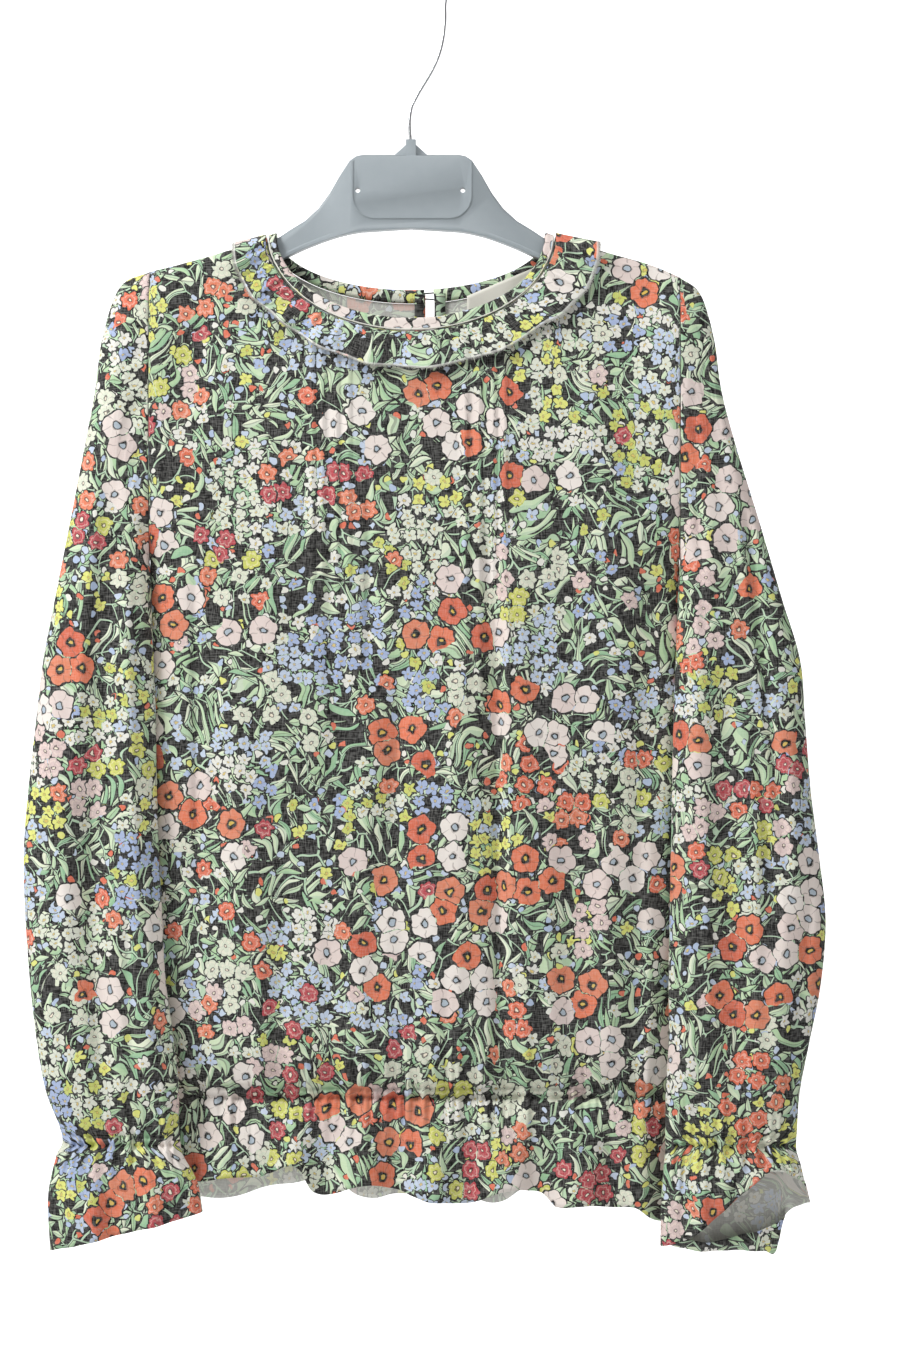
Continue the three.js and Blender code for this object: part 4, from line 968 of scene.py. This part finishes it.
# The keyhole's binding is a strip folded over the slit's edge, down one side and up the other.
# Its rows: how far out from the slit's edge each lies, and how high over the cloth
KEYHOLE_ROWS = [
    (3.2, 0.45), (1.2, 0.7), (0.1, 0.5), (-0.25, -0.4), (0.1, -1.5), (1.2, -2.0), (7.0, -2.2)
]
slit_half = KEYHOLE_WIDTH / 2
slit_low = KEYHOLE_BOTTOM + slit_half
slit_path = []
for k in range(26):
    slit_path.append((keyhole_left, mix(seam_back_z(keyhole_left) + 6, slit_low, k / 25), -1, 0))
for k in range(1, 9):
    out_x, out_z = math.cos(math.pi * (1 + k / 9)), math.sin(math.pi * (1 + k / 9))
    slit_path.append((KEYHOLE_X + slit_half * out_x, slit_low + slit_half * out_z, out_x, out_z))
for k in range(26):
    slit_path.append((keyhole_right, mix(slit_low, seam_back_z(keyhole_right) + 6, k / 25), 1, 0))
keyhole_grid = [
    [
        on_body(1, x + out * nx, length_to(x + out * nx, z + out * nz), lift)
        for x, z, nx, nz in slit_path
    ]
    for out, lift in KEYHOLE_ROWS
]
keyhole_cut = flat_cut(keyhole_grid, 2, CUT_AT["keyhole"], lambda r: -300 + 2.2 * r)
keyhole = cloth_sheet("keyhole_edge", keyhole_grid, keyhole_cut, [voile], 0.3, turn_over=True)

# --- Sleeves --------------------------------------------------------------------------

# Rings down each sleeve: its outer and inner point, how far forward it hangs, its half depth
# and how square it is. The last ring is the open end of the frill.
RING_COLUMNS = "t out_x out_z in_x in_z mid_y deep square"
LAST_RING = 19
ROWS_A_RING = 9
SLEEVE_AROUND = 84
CUFF_GROOVE = 2.6
TURNED_UP = 0.4
LEFT_RINGS = [
    (-172.3, -213, -172.3, -403, 0, 13, 4), (-192, -222.9, -172.6, -406, 0, 14, 4),
    (-203.5, -256, -171.9, -410, -0.5, 14.5, 4), (-208.5, -292, -171.3, -415, -1, 15, 4),
    (-215.5, -330, -171.0, -421, -2, 15, 4), (-224, -376, -170.8, -429, -4.5, 15, 3.5),
    (-234, -428, -170.2, -441, -7, 14.5, 3.5), (-241.6, -469, -169.2, -465, -9, 14.5, 3),
    (-246, -508, -167.5, -500, -11, 14, 3), (-251, -555, -166.5, -548, -13.5, 14, 3),
    (-253.6, -596, -165, -590, -16, 14, 3), (-252, -640, -162.5, -635, -19, 14, 3),
    (-248.5, -682, -160, -678, -22, 14, 3), (-244, -718, -154.5, -716, -24.5, 14, 3),
    (-238, -750, -151, -748, -26, 13, 3), (-229, -773, -151, -772, -26.5, 10.5, 2.6),
    (-227, -784, -150, -783, -27, 9, 2.4), (-231, -793, -148, -792, -28, 11, 2.6),
    (-236, -819, -139, -808, -30, 13.5, 3), (-234.5, -853, -135, -828, -31, 15, 3),
]
RIGHT_RINGS = [
    (177.3, -216.5, 177.3, -403, 0, 13, 4), (191, -227.5, 177.7, -406, 0, 14, 4),
    (199.8, -256, 177.0, -410, -0.5, 14.5, 4), (205, -292, 176.4, -415, -1, 15, 4),
    (215, -330, 176.1, -421, -2, 15, 4), (229, -376, 175.8, -429, -4.5, 15, 3.5),
    (244, -428, 175.2, -441, -7, 14.5, 3.5), (256, -469, 174.2, -465, -9, 14.5, 3),
    (259, -508, 172.6, -500, -11, 14, 3), (262.5, -555, 171.5, -548, -13.5, 14, 3),
    (267.5, -596, 170.5, -590, -16, 14, 3), (271.7, -640, 169.5, -635, -19, 14, 3),
    (268, -682, 168.5, -678, -22, 14, 3), (260.5, -718, 168.5, -716, -25, 14, 3),
    (254, -750, 166.5, -748, -27, 13, 3), (252, -775, 166, -776, -28, 10.5, 2.6),
    (251.5, -788, 166, -788, -28.5, 9, 2.4), (254, -797, 165, -798, -30, 11, 2.6),
    (257, -810, 163, -822, -32, 13.5, 3), (260, -822, 162.5, -850, -33, 15, 3),
]
LEFT_FOLDS = [
    (-330, -196, -640, -205, 9, -4), (-430, -185, -740, -168, 8, 3.5),
    (-560, -211, -745, -199, 9, -5), (-500, -233, -745, -222, 9, 2.5),
    (-250, -188, -420, -200, 8, 2), (-360, -205, -560, -222, 4, 1.6),
    (-420, -180, -700, -172, 3.6, -1.8), (-600, -232, -745, -224, 4, -1.6),
    (-640, -184, -750, -180, 4, -2.2), (-480, -240, -620, -244, 4, 1.4),
    (-690, -212, -750, -208, 5, 1.8),
]
RIGHT_FOLDS = [
    (-240, 190, -430, 212, 8, -3), (-370, 219, -640, 240, 8, -5), (-400, 190, -740, 180, 9, 3.5),
    (-480, 208, -740, 212, 10, -4), (-520, 252, -745, 238, 8, 2.5),
    (-385, 216, -640, 243, 3.2, 2.4), (-380, 222, -600, 246, 3.0, -2.0),
    (-300, 186, -460, 192, 3.5, -1.6), (-560, 192, -745, 194, 4, 2.0),
    (-560, 226, -745, 224, 4.5, 1.8), (-620, 262, -740, 250, 4, -1.6),
]
# How far the front hem of the right cuff frill is lifted above the line of its ends
right_lift = curve("place front back turned", [
    (-1, 0, 0, 0), (-0.93, 13, -1, 0), (-0.7, 24, -5, 0), (-0.6, 29, -34, 28),
    (-0.43, 30, -33, 25), (0, 18, -29, 20), (0.3, 10, -26, 18), (0.66, 1, -20, 19),
    (0.9, 0, -12, 12), (1, 0, 0, 0),
])
CUFF_GATHERS = gathers(31, -1.0, 3.0, 0.115, 30, 24)
HEAD_GATHERS = gathers(32, -1.0, 3.0, 0.10, 1, 1)


def sleeve_grid(rings, folds, lift, seed):
    """Rings of points down the sleeve, out along the front to the inner point and back again."""
    around = SLEEVE_AROUND
    rings = curve(RING_COLUMNS, [(t, *ring) for t, ring in enumerate(rings)])
    # places of columns, -1 at the outer point and 1 at the inner one, closer at the two ends
    half_ring = [
        mix(-1 + 2 * k / around, -math.cos(math.pi * k / around), 0.7) for k in range(around)
    ]
    spots = [(p, -1) for p in half_ring] + [(-p, 1) for p in half_ring]
    grid = []
    for step in range(LAST_RING * ROWS_A_RING + 1):
        t = step / ROWS_A_RING
        out_x, out_z, in_x, in_z, mid_y, deep, square = (
            rings(name, t) for name in RING_COLUMNS.split()[1:]
        )
        row = []
        for place, side in spots:
            x = mix(out_x, in_x, (place + 1) / 2)
            z = mix(out_z, in_z, (place + 1) / 2)
            y = mid_y + side * deep * math.sqrt(max(0, 1 - abs(place) ** square))
            room = smooth((1 - abs(place)) / 0.3)
            along = place if side < 0 else 2 - place
            fold = folds_at(folds, x, z) if side < 0 else -0.7 * folds_at(folds, x + 6, z)
            small = PLEAT_DEEP * gathered(CUFF_GATHERS, along, z - CUFF_Z)
            head = gathered(HEAD_GATHERS, along, 0) * math.exp(-t / 1.3) * min(1, t * 2)
            opened = smooth((CUFF_Z - 6 - z) / 40)
            # the cuff's frill falls in wide waves with narrower ones between
            wave = 3.5 * opened * math.sin(place * 7 + side * 1.3)
            wave += 1.5 * opened * math.sin(place * 17 + side * 2.1 + seed)
            crease = crumple(x, z, seed + side) * smooth(t / 1.5)
            pinch = -CUFF_GROOVE * (bell(z - CUFF_Z, 1.9) + 0.7 * bell(z - CUFF_Z - 6, 1.5))
            y += side * (fold + wave + crease) * room
            y += side * (small + pinch + head) * min(1, room * 3)
            if lift and t > LAST_RING - 2:
                share = smooth((t - LAST_RING + 2) / (2 if side < 0 else 1.6))
                z += lift("front" if side < 0 else "back", place) * share
                if side > 0 and t > LAST_RING - TURNED_UP:
                    # the back of this cuff's frill is turned up towards the front
                    turned = (t - LAST_RING + TURNED_UP) / TURNED_UP
                    up = lift("turned", place)
                    z += up * turned
                    y -= min(up, 9) * math.sin(turned * math.pi / 2) + 0.2 * up * turned
            row.append(Vector((x, y, z)))
        grid.append(row)
    return grid


def edge_normals(line, toward):
    """The direction square to an edge line at each of its points, on the side asked for."""
    made = []
    for r, point in enumerate(line):
        run = line[min(r + 4, len(line) - 1)] - line[max(r - 4, 0)]
        square = Vector((run.z, 0, -run.x)).normalized()
        made.append(square if square.dot(toward(r)) > 0 else -square)
    return made


def sleeve_cut(grid, start_u):
    """The sleeve's flat cut. It lies as it hangs, the front half as seen and the back half
    turned over at the outer edge, and each ring's own length is kept beyond the flat."""
    half, cut, edge = SLEEVE_AROUND, [], []
    middle = grid[len(grid) // 2]
    across = Vector((middle[half].x - middle[0].x, 0, 0)).normalized()
    ways = [
        Vector((row[half].x - row[0].x, 0, row[half].z - row[0].z)).normalized() for row in grid
    ]
    outward = edge_normals([row[0] for row in grid], lambda r: ways[r])
    inward = edge_normals([row[half] for row in grid], lambda r: across)
    for r, row in enumerate(grid):
        maps = []
        for ring in (row[: half + 1], [row[0], *row[: half - 1 : -1]]):
            centre = half // 2
            along = lengths_along(ring)
            flat = []
            for c, point in enumerate(ring):
                spare = (along[c] - along[centre]) - (point - ring[centre]).dot(ways[r])
                way = outward[r] if c < centre else inward[r]
                flat.append((point.x + way.x * spare, point.z + way.z * spare))
            maps.append(flat)
        edge.append(maps[0][0])
        cut.append(maps)

    edge.sort(key=lambda spot: -spot[1])

    def edge_at(z):
        if z >= edge[0][1]:
            return edge[0][0]
        for (u0, v0), (u1, v1) in zip(edge, edge[1:]):
            if v0 >= z >= v1:
                return mix(u0, u1, (v0 - z) / max(v0 - v1, 1e-6))
        return edge[-1][0]

    front_half = [[(start_u + u, v) for u, v in maps[0]] for maps in cut]
    back_half = [[(start_u + 2 * edge_at(v) - u, v) for u, v in maps[1]] for maps in cut]
    return front_half, back_half


def sleeve(name, rings, folds, lift, seed, start_u, turn_over):
    grid = sleeve_grid(rings, folds, lift, seed)
    front_half, back_half = sleeve_cut(grid, start_u)
    cut = [[*f, *reversed(b[:-1])] for f, b in zip(front_half, back_half)]
    made = cloth_sheet(name, grid, cut, [voile, voile_back], turn_over=turn_over, tube=True)
    # at the inner seam the back half starts from its own edge
    uv = made.data.uv_layers["cut"].data
    around_all = len(grid[0])
    for face in made.data.polygons:
        if face.index % around_all == SLEEVE_AROUND:
            for loop in face.loop_indices:
                v = made.data.loops[loop].vertex_index
                if v % around_all == SLEEVE_AROUND:
                    uv[loop].uv = Vector(back_half[v // around_all][-1]) * MM
    return made


left_sleeve = sleeve(
    "sleeve_left_tube", LEFT_RINGS, LEFT_FOLDS, None, 3.1, CUT_AT["left sleeve"], True
)
right_sleeve = sleeve(
    "sleeve_right_tube", RIGHT_RINGS, RIGHT_FOLDS, right_lift, 7.7, CUT_AT["right sleeve"], False
)

# --- Label, hanger, hook, button --------------------------------------------------------

# The label slopes with the back neck, inside the back, and ripples a little
label_grid = []
for v in (r / 8 for r in range(9)):
    row = []
    for u in (c / 24 for c in range(25)):
        x = mix(37, 87, u) - 6 * v * u
        z = mix(mix(-228, -207, u), mix(-247, -226, u), v)
        row.append(on_body(1, x, length_to(x, z), -WALL - GAP - 0.2 + 0.25 * math.sin(9 * u)))
    label_grid.append(row)
label_cut = flat_cut(label_grid, 0, 0, lambda r: -2.4 * r)
label = cloth_sheet("neck_label", label_grid, label_cut, [label_tape], 0.35)

# The hanger's moulding, with its doubles merged and its edges rounded
hanger_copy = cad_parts["hanger"].copy()
hanger_copy.data = hanger_copy.data.copy()
hanger_copy.name = "hanger_moulding"
bpy.context.collection.objects.link(hanger_copy)


def only(piece):
    bpy.ops.object.select_all(action="DESELECT")
    piece.select_set(True)
    bpy.context.view_layer.objects.active = piece


hanger_copy.parent = None
hanger_copy.matrix_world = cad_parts["hanger"].matrix_world
only(hanger_copy)
bpy.ops.object.transform_apply(location=True, rotation=True, scale=True)
bpy.ops.object.mode_set(mode="EDIT")
bpy.ops.mesh.select_all(action="SELECT")
bpy.ops.mesh.remove_doubles(threshold=0.00002)
bpy.ops.mesh.dissolve_limited(angle_limit=math.radians(1.0))
bpy.ops.object.mode_set(mode="OBJECT")
round_off = hanger_copy.modifiers.new("moulded_edges", "BEVEL")
round_off.width = 0.4 * MM
round_off.segments = 2
round_off.limit_method = "ANGLE"
round_off.angle_limit = math.radians(40)
bpy.ops.object.modifier_apply(modifier="moulded_edges")
bpy.ops.object.shade_smooth_by_angle(angle=math.radians(35))
hanger_copy.data.materials.clear()
hanger_copy.data.materials.append(hanger_plastic)

# The wire hook, bent from one length of wire
WIRE = 2.0
HOOK_RADIUS = 25
hook_mid = 1.2 - HOOK_RADIUS
hook_points = [(0, -133.5), (0, -106), (3, -99), (15.5, -77), (19.6, -66), (22.4, -48)]
for k in range(17):
    angle = mix(-0.42, math.pi + 0.3, k / 16)
    hook_points.append((HOOK_RADIUS * math.cos(angle), hook_mid + HOOK_RADIUS * math.sin(angle)))
wire_line = bpy.data.curves.new("wire_hook", "CURVE")
wire_line.dimensions = "3D"
spline = wire_line.splines.new("BEZIER")
spline.bezier_points.add(len(hook_points) - 1)
for point, (x, z) in zip(spline.bezier_points, hook_points):
    point.co = (x * MM, 0, z * MM)
    point.handle_left_type = point.handle_right_type = "AUTO"
wire_line.bevel_depth = WIRE / 2 * MM
wire_line.bevel_resolution = 4
wire_line.resolution_u = 10
wire_line.use_fill_caps = True
wire = hung("wire_hook", wire_line)
only(wire)
bpy.ops.object.convert(target="MESH")
bpy.ops.object.shade_smooth()
wire.data.materials.clear()
wire.data.materials.append(hook_wire)

for node, finish in (("button", button_shell), ("button_loop", thread_loop)):
    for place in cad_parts[node].material_slots:
        place.material = finish

# --- Each piece hung from the root, in place of its CAD node ----------------------------

PIECES = [
    (front, "front", "printed_voile"),
    (back, "back", "printed_voile"),
    (band, "neck_band", "printed_voile"),
    (frill, "collar_frill", "printed_voile"),
    (keyhole, "keyhole_binding", "printed_voile"),
    (left_sleeve, "sleeve_left", "printed_voile"),
    (right_sleeve, "sleeve_right", "printed_voile"),
    (label, "label", "label_tape"),
    (hanger_copy, "hanger", "hanger_plastic"),
    (wire, "hook", "hook_wire"),
]
for piece, node, place in PIECES:
    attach(piece, "root")
    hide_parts(node)
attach(fray, "root")

# --- Floor, light and camera --------------------------------------------------------------

# A pale floor, and a paper sweep that curves up a long way behind the hung blouse
SWEEP_FLOOR = -1.06
SWEEP_START = 5.6
SWEEP_ROUND = 1.0
sweep_profile = [(0.35, SWEEP_FLOOR), (SWEEP_START, SWEEP_FLOOR)]
for k in range(1, 13):
    angle = math.pi / 2 * k / 12
    out, up = SWEEP_ROUND * math.sin(angle), SWEEP_ROUND * (1 - math.cos(angle))
    sweep_profile.append((SWEEP_START + out, SWEEP_FLOOR + up))
sweep_profile.append((SWEEP_START + SWEEP_ROUND, 5.0))


def backdrop(name, profile, glow):
    mesh = bpy.data.meshes.new(name)
    mesh.from_pydata(
        [(x, y, z) for y, z in profile for x in (-8.0, 8.0)],
        [],
        [(2 * k, 2 * k + 1, 2 * k + 3, 2 * k + 2) for k in range(len(profile) - 1)],
    )
    mesh.shade_smooth()
    paper, tree = new_finish(name + "_paper")
    matt = {
        "Base Color": colour("#F4F4F4"),
        "Roughness": 0.9,
        "Emission Color": (1, 1, 1, 1),
        "Emission Strength": glow,
    }
    add(tree, "OutputMaterial", {0: add(tree, "BsdfPrincipled", matt)})
    mesh.materials.append(paper)
    hung(name, mesh)


backdrop("studio_floor", [(-6.0, SWEEP_FLOOR), (0.35, SWEEP_FLOOR)], 0.0)
backdrop("studio_sweep", sweep_profile, 0.85)


def soft_light(name, place, aim, size, power):
    lamp = bpy.data.lights.new(name, "AREA")
    lamp.shape = "RECTANGLE"
    lamp.size, lamp.size_y = size
    lamp.energy = power
    made = hung(name, lamp)
    made.location = place
    made.rotation_euler = (Vector(aim) - Vector(place)).to_track_quat("-Z", "Y").to_euler()


soft_light("window_left", (-1.6, -1.0, 0.7), (0, 0, -0.35), (0.7, 0.9), 38)
soft_light("fill_right", (1.7, -1.7, -0.1), (0, 0, -0.5), (1.4, 1.8), 3)
soft_light("over_top", (0.2, -0.75, 1.2), (0, 0, -0.3), (1.4, 0.8), 13)

world = bpy.data.worlds.new("studio")
world.use_nodes = True
world.node_tree.nodes["Background"].inputs[0].default_value = (1, 1, 1, 1)
world.node_tree.nodes["Background"].inputs[1].default_value = 0.21
bpy.context.scene.world = world
bpy.context.scene.view_settings.view_transform = "Standard"

# The camera looks straight at the front
SENSOR_HIGH = 36
CAMERA_AWAY = 2200
FRAME_HIGH = 895
camera = bpy.data.cameras.new("camera")
camera.sensor_fit = "VERTICAL"
camera.sensor_height = SENSOR_HIGH
camera.lens = SENSOR_HIGH * CAMERA_AWAY / FRAME_HIGH
viewer = hung("camera", camera)
viewer.location = (0.0271, -CAMERA_AWAY * MM, -0.481)
viewer.rotation_euler = (math.pi / 2, 0, 0)
bpy.context.scene.camera = viewer
